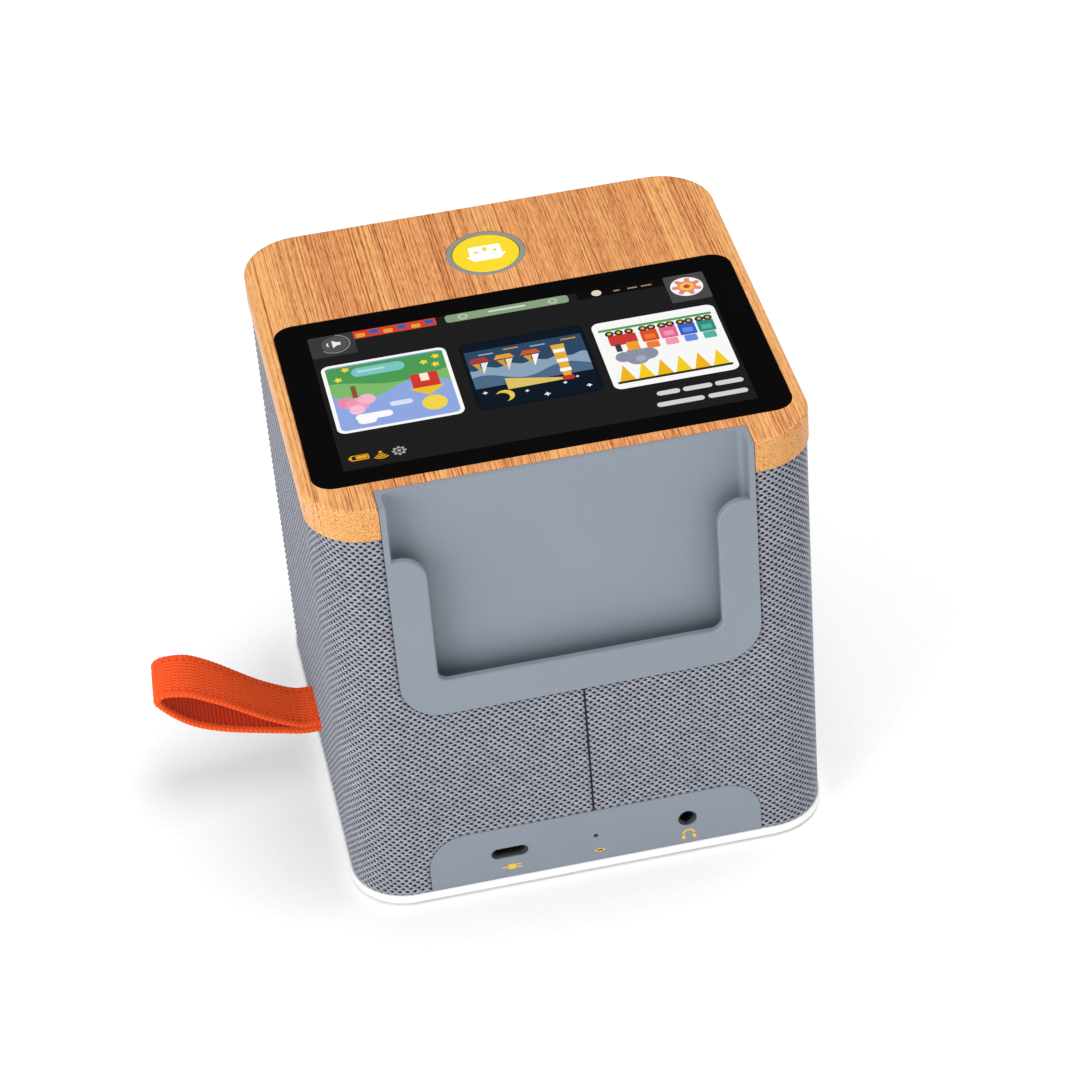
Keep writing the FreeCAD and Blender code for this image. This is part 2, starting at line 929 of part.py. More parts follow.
def processor_shield():
    """Pressed metal can over the processor, on the board's underside."""
    half = shield_size / 2
    low = board_bottom - shield_height
    can = slab(centred(half, half, shield_corner, 0, board_middle), low, board_bottom)
    low_edges = [edge for edge in can.Edges if edge.BoundBox.ZMax < low + 1e-3]
    return can.makeChamfer(shield_edge, low_edges)


def board_chips():
    """Memory, charger and amplifier chips on the board's underside."""
    return group([
        slab(
            centred(width / 2, depth / 2, 0, x, board_middle + y),
            board_bottom - chip_height, board_bottom,
        )
        for x, y, width, depth in chips
    ])


def board_connectors():
    """Sockets: display on top; speaker, battery and ports below."""
    half = display_socket_width / 2
    display_socket = box(
        -half, half, display_flex_y - display_socket_depth, display_flex_y,
        board_top, board_top + chip_height,
    )
    places = [
        (speaker_socket_x, speaker_socket_y, socket_width, socket_depth),
        (battery_socket_x, 0, socket_width, socket_depth),
        (0, port_flex_y + flex_thickness / 2, port_socket_width, port_socket_depth),
    ]
    return group([display_socket] + [
        slab(centred(width / 2, depth / 2, 0, x, y), socket_bottom, board_bottom)
        for x, y, width, depth in places
    ])


# ---------------------------------------------------------------- button
def button_cap():
    """Yellow button: disc, catch rim under the ring's shoulder, and pressing stem."""
    top = body_height - button_recess
    rim_top = ring_shoulder - moving_gap
    inner = button_radius - button_wall
    return turned([
        (0, top), (button_radius - button_edge, top), (button_radius, top - button_edge),
        (button_radius, rim_top), (catch_radius, rim_top),
        (catch_radius, rim_top - catch_thickness), (inner, rim_top - catch_thickness),
        (inner, top - button_skin), (button_stem_radius, top - button_skin),
        (button_stem_radius, plunger_top), (0, plunger_top),
    ], 0, button_y)


def button_ring():
    """Ring that lines the hole in the plate and holds the button down."""
    return turned([
        (ring_inner_radius, ring_shoulder), (ring_inner_radius, body_height - ring_edge),
        (ring_inner_radius + ring_edge, body_height),
        (ring_outer_radius - ring_edge, body_height),
        (ring_outer_radius, body_height - ring_edge), (ring_outer_radius, plate_bottom),
        (ring_flange_radius, plate_bottom),
        (ring_flange_radius, plate_bottom - ring_flange_thickness),
        (catch_radius + moving_gap, plate_bottom - ring_flange_thickness),
        (catch_radius + moving_gap, ring_shoulder),
    ], 0, button_y)


def button_housing():
    """Cup under the plate that clamps the ring and carries the switch board."""
    flange_radius = ring_flange_radius + fit_gap + housing_flange_width
    ear_half = housing_ear_width / 2
    ears = slab(
        centred(
            housing_screw_x + housing_ear_end, ear_half, ear_half - fit_gap, 0, button_y,
        ),
        housing_top, plate_bottom,
    )
    disc = post(flange_radius, housing_top, plate_bottom, 0, button_y)
    cup = post(housing_radius, housing_bottom, housing_top, 0, button_y)
    seat = post(
        ring_flange_radius + fit_gap, plate_bottom - ring_flange_thickness,
        plate_bottom + 1, 0, button_y,
    )
    bore = post(housing_bore, switch_board_bottom, plate_bottom + 1, 0, button_y)
    slot_half = button_flex_width / 2 + moving_gap
    flex_slot = box(
        -slot_half, slot_half, button_y, button_y + 2 * housing_radius,
        board_top, board_top + flex_thickness + moving_gap,
    )
    holes = [
        post(small_shank_radius + fit_gap, 0, plate_bottom + 1, x, y)
        for x, y in housing_screw_places()
    ]
    return cut(fuse(disc, ears, cup), seat, bore, flex_slot, *holes)


def housing_screws():
    one = small_screw(housing_flange_thickness + small_screw_bite)
    return group([
        aimed(one, (x, y, housing_top), (0, 0, 1)) for x, y in housing_screw_places()
    ])


def switch_board():
    return post(housing_bore - fit_gap, switch_board_bottom, board_top, 0, button_y)


def button_switch():
    """Tact switch body with a well for its plunger."""
    half = switch_size / 2
    body = box(-half, half, button_y - half, button_y + half, board_top, switch_top)
    well = post(
        plunger_radius + moving_gap, switch_top - plunger_well, switch_top + 1, 0, button_y,
    )
    return cut(body, well)


def switch_plunger():
    bottom = switch_top - plunger_well + button_travel + moving_gap
    return post(plunger_radius, bottom, plunger_top, 0, button_y)


def button_flex():
    """Flat cable from the switch board, through the housing, to the main board."""
    half = button_flex_width / 2
    return box(
        -half, half, button_y + switch_size / 2 + moving_gap, board_front + board_corner,
        board_top, board_top + flex_thickness,
    )


# ---------------------------------------------------------------- card tray
def reader_boss_places():
    x = reader_half_width - reader_boss_inset
    z_low = reader_bottom + reader_boss_inset
    z_high = reader_bottom + reader_height - reader_boss_inset
    return [(sx * x, z) for sx in (-1, 1) for z in (z_low, z_high)]


def card_tray():
    """Card pocket: back wall, side walls, floor and a U-shaped retaining lip."""
    top = body_height
    block = back_slab(tray_outline(0, top), tray_front, half_depth)
    above = top + 1
    pocket = back_slab([
        (-pocket_half_width, pocket_floor, lip_inner_corner),
        (pocket_half_width, pocket_floor, lip_inner_corner),
        (pocket_half_width, above, 0), (-pocket_half_width, above, 0),
    ], pocket_front, pocket_back)
    deep_edges = [
        edge for edge in pocket.Edges
        if edge.BoundBox.YMax < pocket_front + 1e-3 and edge.BoundBox.ZMin < top
    ]
    pocket = pocket.makeFillet(tray_inner_round, deep_edges)
    opening = back_slab([
        (-lip_half_opening, tray_bottom + lip_height, lip_inner_corner),
        (lip_half_opening, tray_bottom + lip_height, lip_inner_corner),
        (lip_half_opening, lip_shoulder_top, lip_shoulder_radius),
        (pocket_half_width, lip_shoulder_top, 0),
        (pocket_half_width, above, 0),
        (-pocket_half_width, above, 0),
        (-pocket_half_width, lip_shoulder_top, 0),
        (-lip_half_opening, lip_shoulder_top, lip_shoulder_radius),
    ], pocket_back - 0.5, half_depth + 1)
    lugs = [
        box(
            x - lug_width / 2, x + lug_width / 2,
            cavity_y - fit_gap - lug_thickness, cavity_y - fit_gap,
            tray_bottom - lug_drop, tray_bottom + 1,
        )
        for x in (-lug_x, lug_x)
    ]
    bosses = [
        bar_y(reader_boss_radius, reader_back, tray_front + tray_back_wall / 2, x, z)
        for x, z in reader_boss_places()
    ]
    holes = [
        bar_y(
            reader_shank_radius, reader_back - 1,
            tray_front + tray_back_wall - pilot_skin, x, z,
        )
        for x, z in reader_boss_places()
    ]
    for x in (-lug_x, lug_x):
        holes.append(bar_y(
            small_shank_radius + fit_gap, 0, half_depth, x, tray_bottom - lug_drop / 2,
        ))
    body = cut(block, pocket, opening)
    lip_edges = [
        edge for edge in body.Edges
        if edge.BoundBox.YMin > half_depth - 1e-3
        and edge.BoundBox.XMax < lip_half_opening + 1e-3
        and edge.BoundBox.XMin > -lip_half_opening - 1e-3
        and edge.BoundBox.ZMax < lip_shoulder_top - lip_shoulder_radius + 1e-3
        and edge.BoundBox.ZMin > tray_bottom + lip_height - 1e-3
    ]
    body = body.makeFillet(lip_edge_round, lip_edges)
    return cut(fuse(body, *lugs, *bosses), *holes)


def tray_screws():
    one = small_screw(lug_thickness + fit_gap + tray_screw_bite)
    seat = cavity_y - fit_gap - lug_thickness
    z = tray_bottom - lug_drop / 2
    return group([aimed(one, (x, seat, z), (0, 1, 0)) for x in (-lug_x, lug_x)])


def reader_board():
    """Aerial board that reads a card through the tray's back wall."""
    outline = rectangle(
        -reader_half_width, reader_half_width,
        reader_bottom, reader_bottom + reader_height, reader_corner,
    )
    board = back_slab(outline, reader_front, reader_back)
    holes = [
        bar_y(reader_shank_radius + fit_gap, 0, half_depth, x, z)
        for x, z in reader_boss_places()
    ]
    return cut(board, *holes)


def reader_chip():
    half = reader_chip_size / 2
    outline = centred(half, half, 0, 0, reader_bottom + reader_height / 2)
    return back_slab(outline, reader_front - chip_height, reader_front)


def reader_header():
    """Pin header that joins the reader board to the main board."""
    half = header_width / 2
    return box(
        header_x - half, header_x + half, reader_front - header_depth, reader_front,
        reader_bottom + reader_height - header_overlap, board_bottom,
    )


def reader_screws():
    one = screw(
        reader_thickness + reader_boss_height + reader_screw_bite,
        reader_shank_radius, reader_head_radius, small_head_height,
    )
    return group([
        aimed(one, (x, reader_front, z), (0, 1, 0)) for x, z in reader_boss_places()
    ])


# ---------------------------------------------------------------- ports
def port_panel():
    """Port cover: thin face, rim through the shell wall, and a flange inside it."""
    low = base_height + panel_foot_gap
    flange_back = cavity_y - fit_gap
    flange_front = flange_back - panel_flange_thickness
    face = back_slab(panel_outline(0, low), flange_back, panel_face)
    flange = back_slab(panel_outline(panel_flange, low), flange_front, flange_back)
    hollow = back_slab(
        panel_outline(-panel_rim_wall, low - 1), flange_front - 1, panel_inner,
    )
    slot = back_slab(
        centred(
            usb_slot_width / 2, usb_slot_height / 2, usb_slot_height * 0.49,
            usb_x, port_height,
        ),
        cavity_y, half_depth + 1,
    )
    pin_hole = bar_y(set_hole_radius, cavity_y, half_depth + 1, set_x, port_height)
    jack_hole = bar_y(jack_hole_radius, cavity_y, half_depth + 1, jack_x, port_height)
    return cut(fuse(face, flange), hollow, slot, pin_hole, jack_hole)


def port_board():
    board = slab(
        rectangle(
            port_board_left, port_board_right, port_board_front, port_board_back,
            port_board_corner,
        ),
        port_board_bottom, port_board_top,
    )
    holes = [
        post(small_shank_radius + fit_gap, 0, port_board_top + 1, x, y) for x, y in port_posts
    ]
    return cut(board, *holes)


def port_board_screws():
    one = small_screw(port_board_top - base_height - tip_gap)
    return group([aimed(one, (x, y, port_board_top), (0, 0, -1)) for x, y in port_posts])


def usb_socket():
    """Charging socket: rounded metal shell with a contact tongue."""
    half = usb_body_width / 2
    rise = usb_body_height / 2
    low = port_mouth - usb_body_length
    shell = back_slab(centred(half, rise, rise * 0.96, usb_x, port_height), low, port_mouth)
    half -= usb_shell_wall
    rise -= usb_shell_wall
    bore = back_slab(
        centred(half, rise, rise * 0.96, usb_x, port_height),
        low + usb_back_wall, port_mouth + 1,
    )
    tongue = back_slab(
        centred(half - usb_tongue_margin, usb_tongue_thickness / 2, 0, usb_x, port_height),
        low, port_mouth - usb_tongue_recess,
    )
    return fuse(cut(shell, bore), tongue)


def audio_jack():
    """Headphone socket with a blind plug bore."""
    half = jack_body_width / 2
    low = port_mouth - jack_body_length
    body = box(
        jack_x - half, jack_x + half, low, port_mouth - jack_nose_length,
        port_board_top, port_board_top + jack_body_height,
    )
    nose = bar_y(
        jack_bore_radius + jack_nose_wall, port_board_back + 2 * fit_gap, port_mouth,
        jack_x, port_height,
    )
    bore = bar_y(jack_bore_radius, low + jack_bore_floor, port_mouth + 1, jack_x, port_height)
    return cut(fuse(body, nose), bore)


def set_switch():
    """Side-acting tact switch behind the pin hole."""
    half = set_body_width / 2
    body = box(
        set_x - half, set_x + half, set_body_back - set_body_length, set_body_back,
        port_board_top, port_board_top + set_body_height,
    )
    well = bar_y(
        set_plunger_radius + moving_gap, set_body_back - set_well_depth,
        half_depth, set_x, port_height,
    )
    return cut(body, well)


def set_plunger():
    inner = set_body_back - set_well_depth + set_travel + moving_gap
    outer = panel_inner - set_plunger_gap
    return bar_y(set_plunger_radius, inner, outer, set_x, port_height)


def port_flex():
    """Flat cable from the port board up to the main board."""
    half = port_flex_width / 2
    return box(
        -half, half, port_flex_y, port_flex_y + flex_thickness,
        port_board_top, socket_bottom,
    )


# ---------------------------------------------------------------- battery
def battery_cells():
    cells = []
    for y in cell_y:
        can_end = cell_length / 2 - cell_tip_length
        can = bar_x(cell_radius, -cell_length / 2, can_end, y, cell_z)
        rims = [edge for edge in can.Edges if edge.BoundBox.XLength < 1e-3]
        can = can.makeChamfer(cell_edge, rims)
        tip = bar_x(cell_tip_radius, can_end - 1, cell_length / 2, y, cell_z)
        cells.append(fuse(can, tip))
    return group(cells)


def battery_cradle():
    """Trough for two cells, with an ear each side for the clamp's screws."""
    trough = box(
        -cradle_half_length, cradle_half_length,
        battery_y - cradle_half_width, battery_y + cradle_half_width,
        base_height, cradle_top,
    )
    beds = [
        bar_x(
            cell_radius + fit_gap, -cell_length / 2 - fit_gap,
            cell_length / 2 + fit_gap, y, cell_z,
        )
        for y in cell_y
    ]
    foot = cradle_half_width + ear_reach
    ears = slab(centred(clamp_width / 2, foot, 0, 0, battery_y), base_height, ear_top)
    holes = [post(small_shank_radius, base_height, ear_top + 1, 0, y) for y in clamp_screw_y()]
    return cut(fuse(trough, ears), *beds, *holes)


def clamp_screw_y():
    reach = clamp_inner + clamp_thickness + small_head_radius
    return [battery_y - reach, battery_y + reach]


def battery_clamp():
    """Sprung steel bridge over the cells, screwed to the cradle's ears."""
    inner = clamp_inner
    outer = inner + clamp_thickness
    foot = cradle_half_width + ear_reach
    foot_top = ear_top + clamp_thickness
    high = cell_z + cell_radius + fit_gap
    top = high + clamp_thickness
    outer_bend = clamp_inner_bend + clamp_thickness
    bridge = side_slab([
        (battery_y - foot, ear_top, 0), (battery_y - inner, ear_top, 0),
        (battery_y - inner, high, clamp_inner_bend), (battery_y + inner, high, clamp_inner_bend),
        (battery_y + inner, ear_top, 0), (battery_y + foot, ear_top, 0),
        (battery_y + foot, foot_top, 0), (battery_y + outer, foot_top, 0),
        (battery_y + outer, top, outer_bend), (battery_y - outer, top, outer_bend),
        (battery_y - outer, foot_top, 0), (battery_y - foot, foot_top, 0),
    ], -clamp_width / 2, clamp_width / 2)
    holes = [post(small_shank_radius + fit_gap, 0, foot_top + 1, 0, y) for y in clamp_screw_y()]
    return cut(bridge, *holes)


def battery_screws():
    one = small_screw(ear_top + clamp_thickness - base_height - tip_gap)
    seat = ear_top + clamp_thickness
    return group([aimed(one, (0, y, seat), (0, 0, -1)) for y in clamp_screw_y()])


# ---------------------------------------------------------------- speaker
def at_speaker(solid):
    """Places a solid so that its +Z runs inwards from the front wall."""
    return aimed(solid, (0, -cavity_y, speaker_height), (0, 1, 0))


def speaker_gasket():
    ring = cut(
        post(gasket_outer_radius, 0, gasket_thickness),
        post(gasket_inner_radius, -1, gasket_thickness + 1),
    )
    return at_speaker(ring)


def speaker_basket():
    """Pressed frame: square flange, windowed cone and a seat for the magnet."""
    inner = surround_outer
    back = basket_depth
    flange = cut(
        slab(
            centred(speaker_flange_half, speaker_flange_half, speaker_flange_corner),
            flange_front, flange_back,
        ),
        post(inner, 0, flange_back + 1),
    )
    cup = turned([
        (inner, flange_front), (inner + basket_shoulder, flange_front),
        (basket_back_radius, back - basket_wall), (basket_back_radius, back),
        (gap_radius, back), (gap_radius, back - basket_wall),
        (basket_back_radius - basket_wall, back - basket_wall), (inner, flange_back),
    ])
    windows = []
    for index in range(basket_windows):
        window = box(
            -basket_window_width / 2, basket_window_width / 2, basket_back_radius / 2,
            speaker_flange_half, flange_back + basket_window_margin,
            back - basket_wall - basket_window_margin,
        )
        window.rotate(vector(0, 0, 0), vector(0, 0, 1), 360 / basket_windows * index)
        windows.append(window)
    holes = [
        post(small_shank_radius + fit_gap, 0, flange_back + 1, x, y)
        for x, y in speaker_screw_places
    ]
    return at_speaker(cut(fuse(flange, cup), *windows, *holes))


def speaker_screws():
    one = small_screw(speaker_flange_thickness + gasket_thickness + speaker_screw_bite)
    return group([
        at_speaker(aimed(one, (x, y, flange_back), (0, 0, -1)))
        for x, y in speaker_screw_places
    ])


def speaker_surround():
    """Half-roll rubber edge between the cone and the frame, with its seating lip."""
    inner = cone_edge_radius + moving_gap
    outer = surround_outer
    seat = flange_front
    middle = (inner + outer) / 2
    roll = (outer - inner) / 2
    skin = surround_skin
    angles = [math.radians(angle) for angle in range(0, 181, 30)]
    front = [
        (middle + roll * math.cos(angle), seat - roll * math.sin(angle)) for angle in angles
    ]
    back = [
        (
            middle - (roll - skin) * math.cos(angle),
            seat - (roll - skin) * math.sin(angle),
        )
        for angle in angles
    ]
    lip_outer = gasket_inner_radius - fit_gap
    lip = [
        (outer - skin, seat), (lip_outer, seat), (lip_outer, seat - skin),
        (outer - skin / 8, seat - skin),
    ]
    return at_speaker(turned(front[1:] + back[:-1] + lip))


def speaker_cone():
    """Paper cone with dust cap and coil former, one moving piece."""
    neck = coil_former_radius
    bore = neck - coil_former_wall
    back = cone_front + cone_depth
    cap = back - dust_cap_height
    cap_side = back - dust_cap_height * 0.75
    return at_speaker(turned([
        (cone_edge_radius, cone_front), (cone_edge_radius, cone_front + cone_thickness),
        (neck, back + cone_thickness), (neck, coil_former_end), (bore, coil_former_end),
        (bore, back), (bore * 0.6, cap_side), (0, cap), (0, cap - cone_thickness),
        (bore * 0.6, cap_side - cone_thickness), (neck, back - 2 * cone_thickness),
        (cone_edge_radius - cone_thickness, cone_front),
    ]))


def voice_coil():
    """Copper winding on the former, inside the magnet gap."""
    radius = coil_former_radius
    end = coil_former_end - coil_former_wall
    return at_speaker(cut(
        post(radius + coil_winding, end - coil_length, end),
        post(radius, 0, coil_former_end + 1),
    ))


def speaker_pole_ring():
    return at_speaker(cut(
        post(magnet_radius - 1, basket_depth, magnet_front),
        post(gap_radius, 0, magnet_front + 1),
    ))


def speaker_magnet():
    return at_speaker(cut(
        post(magnet_radius, magnet_front, magnet_back),
        post(gap_radius + 1, 0, magnet_back + 1),
    ))


def speaker_back_plate():
    plate = post(magnet_radius - 1, magnet_back, magnet_back + back_plate_thickness)
    pole = post(pole_radius, basket_depth, magnet_back)
    return at_speaker(fuse(plate, pole))


# ---------------------------------------------------------------- webbing loop
def strap_loop():
    """Webbing folded back on itself; both ends run in through the side wall."""
    path = Part.BSplineCurve()
    path.interpolate([
        vector(half_width + reach, 0, strap_height + rise) for reach, rise in strap_path
    ])
    steps = 48
    first, last = path.FirstParameter, path.LastParameter
    sides = {1: [], -1: []}
    for index in range(steps + 1):
        at = first + (last - first) * index / steps
        here = path.value(at)
        along = path.tangent(at)[0]
        across = vector(-along.z, 0, along.x)
        for side in sides:
            sides[side].append(here + across * (side * strap_thickness / 2))
    edges = []
    for side in (1, -1):
        curve = Part.BSplineCurve()
        curve.interpolate(sides[side])
        edges.append(curve.toShape())
    edges.append(Part.makeLine(sides[1][0], sides[-1][0]))
    edges.append(Part.makeLine(sides[1][-1], sides[-1][-1]))
    face = Part.Face(Part.Wire(Part.__sortEdges__(edges)))
    band = face.extrude(vector(0, strap_width, 0))
    band.translate(vector(0, strap_y - strap_half_width, 0))
    root = box(
        strap_inner_x, half_width + strap_path[0][0] + 0.3,
        strap_y - strap_half_width, strap_y + strap_half_width,
        strap_height - strap_root_half, strap_height + strap_root_half,
    )
    return fuse(band, root)


def strap_clamp():
    """Bar that holds the webbing down on its shelf."""
    bar = slab(
        rectangle(
            strap_inner_x, cavity_x - fit_gap,
            strap_y - shelf_half_length, strap_y + shelf_half_length, strap_clamp_corner,
        ),
        clamp_bottom, clamp_bottom + strap_clamp_thickness,
    )
    holes = [
        post(small_shank_radius + fit_gap, 0, body_height, clamp_x, y) for y in strap_screw_y
    ]
    return cut(bar, *holes)


def strap_screws():
    seat = clamp_bottom + strap_clamp_thickness
    one = small_screw(seat - shelf_bottom - 2 * tip_gap)
    return group([aimed(one, (clamp_x, y, seat), (0, 0, -1)) for y in strap_screw_y])


# ---------------------------------------------------------------- wiring
def wire(points):
    """Round lead along straight runs joined by tangent arcs through hand-set points."""
    points = [vector(*point) for point in points]
    edges = []
    start = points[0]
    for before, here, after in zip(points, points[1:], points[2:]):
        run_in = here - before
        run_out = after - here
        reach = 0.45 * min(run_in.Length, run_out.Length)
        half_turn = run_in.getAngle(run_out) / 2
        radius = reach / math.tan(half_turn)
        run_in.normalize()
        run_out.normalize()
        inward = run_out - run_in
        inward.normalize()
        arc_start = here - run_in * reach
        arc_end = here + run_out * reach
        middle = here + inward * (radius / math.cos(half_turn) - radius)
        edges.append(Part.makeLine(start, arc_start))
        edges.append(Part.Arc(arc_start, middle, arc_end).toShape())
        start = arc_end
    edges.append(Part.makeLine(start, points[-1]))
    circle = Part.Circle(points[0], points[1] - points[0], wire_radius)
    return Part.Wire(edges).makePipeShell([Part.Wire(circle.toShape())], True, False)


def speaker_wires():
    """Lead from the speaker's rim up to its socket on the main board."""
    start_y = -cavity_y + basket_depth - basket_wall
    start_z = speaker_height + basket_back_radius + wire_radius / 2
    end = socket_bottom - moving_gap
    middle = (start_z + end) / 2
    return wire([
        (wire_x, start_y, start_z), (wire_x, start_y, middle - 1),
        (speaker_socket_x, speaker_socket_y, middle + 1),
        (speaker_socket_x, speaker_socket_y, end),
    ])


def battery_wires():
    """Lead from the cells' end up to its socket on the main board."""
    start_x = cradle_half_length + wire_radius + fit_gap
    start_z = cell_z - wire_radius
    end = socket_bottom - moving_gap
    return wire([
        (start_x, battery_y, start_z), (start_x, battery_y, (2 * start_z + end) / 3),
        (battery_socket_x, 0, (start_z + 2 * end) / 3), (battery_socket_x, 0, end),
    ])


# ---------------------------------------------------------------- all pieces
pieces = [
    base_cover, rubber_mat, base_screws, body_shell, fabric_sleeve, top_plate,
    plate_screws, display_glass, display_tape, display_module, display_frame,
    frame_screws, display_flex, main_board, board_screws, processor_shield,
    board_chips, board_connectors, button_cap, button_ring, button_housing,
    housing_screws, switch_board, button_switch, switch_plunger, button_flex,
    card_tray, tray_screws, reader_board, reader_chip, reader_header,
    reader_screws, port_panel, port_board, port_board_screws, usb_socket,
    audio_jack, set_switch, set_plunger, port_flex, battery_cells,
    battery_cradle, battery_clamp, battery_screws, speaker_gasket,
    speaker_basket, speaker_screws, speaker_surround, speaker_cone, voice_coil,
    speaker_pole_ring, speaker_magnet, speaker_back_plate, strap_loop,
    strap_clamp, strap_screws, speaker_wires, battery_wires,
]

os.makedirs("parts", exist_ok=True)
for piece in pieces:
    save(piece.__name__, piece())
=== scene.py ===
# %% [markdown]
# # Audio story player
# The real object is a small cube of a speaker for children. It has a bamboo lid with a touch
# display and one yellow button, a cloth body on a white foot, a grey pocket for story cards and
# a loop of orange webbing. The solids come ready made, in metres, and this lesson gives them
# their surfaces: cloth, webbing, prints, a picture on the display, and a material for each node.

# %% Load the solids
import json
import bpy
import numpy as np
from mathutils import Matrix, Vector


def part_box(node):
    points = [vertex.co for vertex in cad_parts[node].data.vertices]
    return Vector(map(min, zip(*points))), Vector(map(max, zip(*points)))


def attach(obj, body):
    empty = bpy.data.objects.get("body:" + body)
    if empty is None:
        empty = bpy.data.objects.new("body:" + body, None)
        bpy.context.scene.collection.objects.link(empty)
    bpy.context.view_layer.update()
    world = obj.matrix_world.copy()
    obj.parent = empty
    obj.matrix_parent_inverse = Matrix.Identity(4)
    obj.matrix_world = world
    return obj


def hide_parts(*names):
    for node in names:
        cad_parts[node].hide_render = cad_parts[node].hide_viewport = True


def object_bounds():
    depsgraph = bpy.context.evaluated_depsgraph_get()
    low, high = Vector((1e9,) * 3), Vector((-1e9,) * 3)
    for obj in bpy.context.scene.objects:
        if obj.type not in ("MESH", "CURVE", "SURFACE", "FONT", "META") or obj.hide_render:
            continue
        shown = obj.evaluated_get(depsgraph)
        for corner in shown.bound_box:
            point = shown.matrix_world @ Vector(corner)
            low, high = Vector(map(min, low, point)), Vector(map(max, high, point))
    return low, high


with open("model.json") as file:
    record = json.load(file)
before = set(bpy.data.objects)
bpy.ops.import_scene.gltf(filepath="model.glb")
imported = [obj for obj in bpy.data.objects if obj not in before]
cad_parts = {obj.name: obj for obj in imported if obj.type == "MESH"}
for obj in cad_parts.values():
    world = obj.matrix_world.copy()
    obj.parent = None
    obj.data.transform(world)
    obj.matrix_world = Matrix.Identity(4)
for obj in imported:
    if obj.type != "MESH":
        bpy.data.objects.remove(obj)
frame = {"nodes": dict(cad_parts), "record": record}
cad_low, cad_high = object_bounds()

scene = bpy.context.scene
MM = 0.001
print("solids:", len(frame["nodes"]), "box in mm:",
      [round(v / MM, 1) for v in cad_high - cad_low])

# %% [markdown]
# ## View and light
# A long lens from a little under a metre away keeps the box's sides nearly parallel. Three
# large soft boxes light it: one overhead, a little to the right, so that the soft shadow falls
# to the left; one low on the left, for the side with the webbing; one behind the camera for
# the back. A grey tent fills in the rest. Shiny surfaces would show the whole tent, so they
# see the soft boxes only, which is what black cards do in a studio.

# %% Camera
lens = bpy.data.cameras.new("view_from_behind")
lens.sensor_width = 36.0
lens.lens = 122.53
camera = bpy.data.objects.new("view_from_behind", lens)
camera.location = (0.1048, 0.7002, 0.6014)
camera.rotation_euler = (0.9135, 0.0689, 2.9379)
scene.collection.objects.link(camera)
scene.camera = camera
scene.view_settings.view_transform = "Standard"
print("camera:", round(camera.location.length, 2), "m away, lens", round(lens.lens, 1), "mm")

# %% Soft boxes and tent
body_middle = (cad_low + cad_high) / 2


def soft_box(name, place, side, watts):
    """A square area light of this side that faces the middle of the box."""
    light = bpy.data.lights.new(name, "AREA")
    light.size, light.energy = side, watts
    lamp = bpy.data.objects.new(name, light)
    lamp.location = place
    lamp.rotation_euler = (body_middle - Vector(place)).to_track_quat("-Z", "Y").to_euler()
    scene.collection.objects.link(lamp)


soft_box("overhead_box", (-0.42, -0.08, 1.9), 1.3, 20.6)
soft_box("left_box", (1.0, 0.7, 0.5), 0.8, 8.5)
soft_box("camera_box", (0.1, 1.6, 0.35), 0.8, 3.0)
tent = bpy.data.worlds.new("tent")
tent.use_nodes = True
tent.node_tree.nodes["Background"].inputs["Color"].default_value = (1, 1, 1, 1)
tent.node_tree.nodes["Background"].inputs["Strength"].default_value = 0.65
tent.cycles_visibility.glossy = False
scene.world = tent
print("camera and lights are in place")

# %% [markdown]
# ## Helpers for materials
# A material is a small graph of nodes. One function adds any node, with its settings and its
# links, so each material reads as a list of what was done to the surface. Colours are written
# as they look on a screen and turned to linear light, which the shader needs.


# %% Colours and nodes
def linear(colour):
    """Linear RGBA of an sRGB hex: each channel c / 255 becomes ((c + 0.055) / 1.055) ^ 2.4,
    or c / 12.92 where it is very dark."""
    c = np.array([int(colour[i:i + 2], 16) for i in (1, 3, 5)]) / 255
    return (*np.where(c > 0.04045, ((c + 0.055) / 1.055) ** 2.4, c / 12.92).tolist(), 1.0)


def add(tree, kind, inputs=None, out=0, **settings):
    """Adds a node and returns its output out. inputs gives each socket a value, or the output
    of another node to link."""
    node = tree.nodes.new("ShaderNode" + kind)
    for name, value in settings.items():
        setattr(node, name, value)
    for name, value in (inputs or {}).items():
        if isinstance(value, bpy.types.NodeSocket):
            tree.links.new(value, node.inputs[name])
        else:
            node.inputs[name].default_value = value
    return node.outputs[out]


def start_material(name, **values):
    """A new material with a Principled shader. values are its sockets, with _ for a space."""
    material = bpy.data.materials.new(name)
    material.use_nodes = True
    shader = material.node_tree.nodes["Principled BSDF"]
    for socket, value in values.items():
        shader.inputs[socket.replace("_", " ")].default_value = value
    return material, material.node_tree, shader


def in_millimetres(tree, stretch=(1, 1, 1)):
    """Object coordinates in mm, divided along each axis by how long the pattern is there."""
    place = add(tree, "TexCoord", out="Object")
    scale = tuple(1 / MM / length for length in stretch)
    return add(tree, "VectorMath", {0: place, 1: scale}, operation="MULTIPLY")


def pattern(tree, kind, stretch, inputs=None, out=0, **settings):
    """A texture in mm, drawn out along each axis by how long its pattern is there."""
    inputs = {"Vector": in_millimetres(tree, stretch), "Scale": 1.0, **(inputs or {})}
    return add(tree, "Tex" + kind, inputs, out, **settings)


def between(tree, factor, low, high, blend="MIX"):
    """The colour from low to high, hexes or outputs of nodes, that factor, 0 to 1, asks for."""
    low, high = (linear(colour) if isinstance(colour, str) else colour for colour in (low, high))
    return add(tree, "Mix", {0: factor, 6: low, 7: high}, out=2, data_type="RGBA",
               blend_type=blend)


def weighted(tree, total, *parts):
    """total plus each part, (value, weight), as value times weight."""
    for value, weight in parts:
        total = add(tree, "Math", {0: value, 1: weight, 2: total}, operation="MULTIPLY_ADD")
    return total


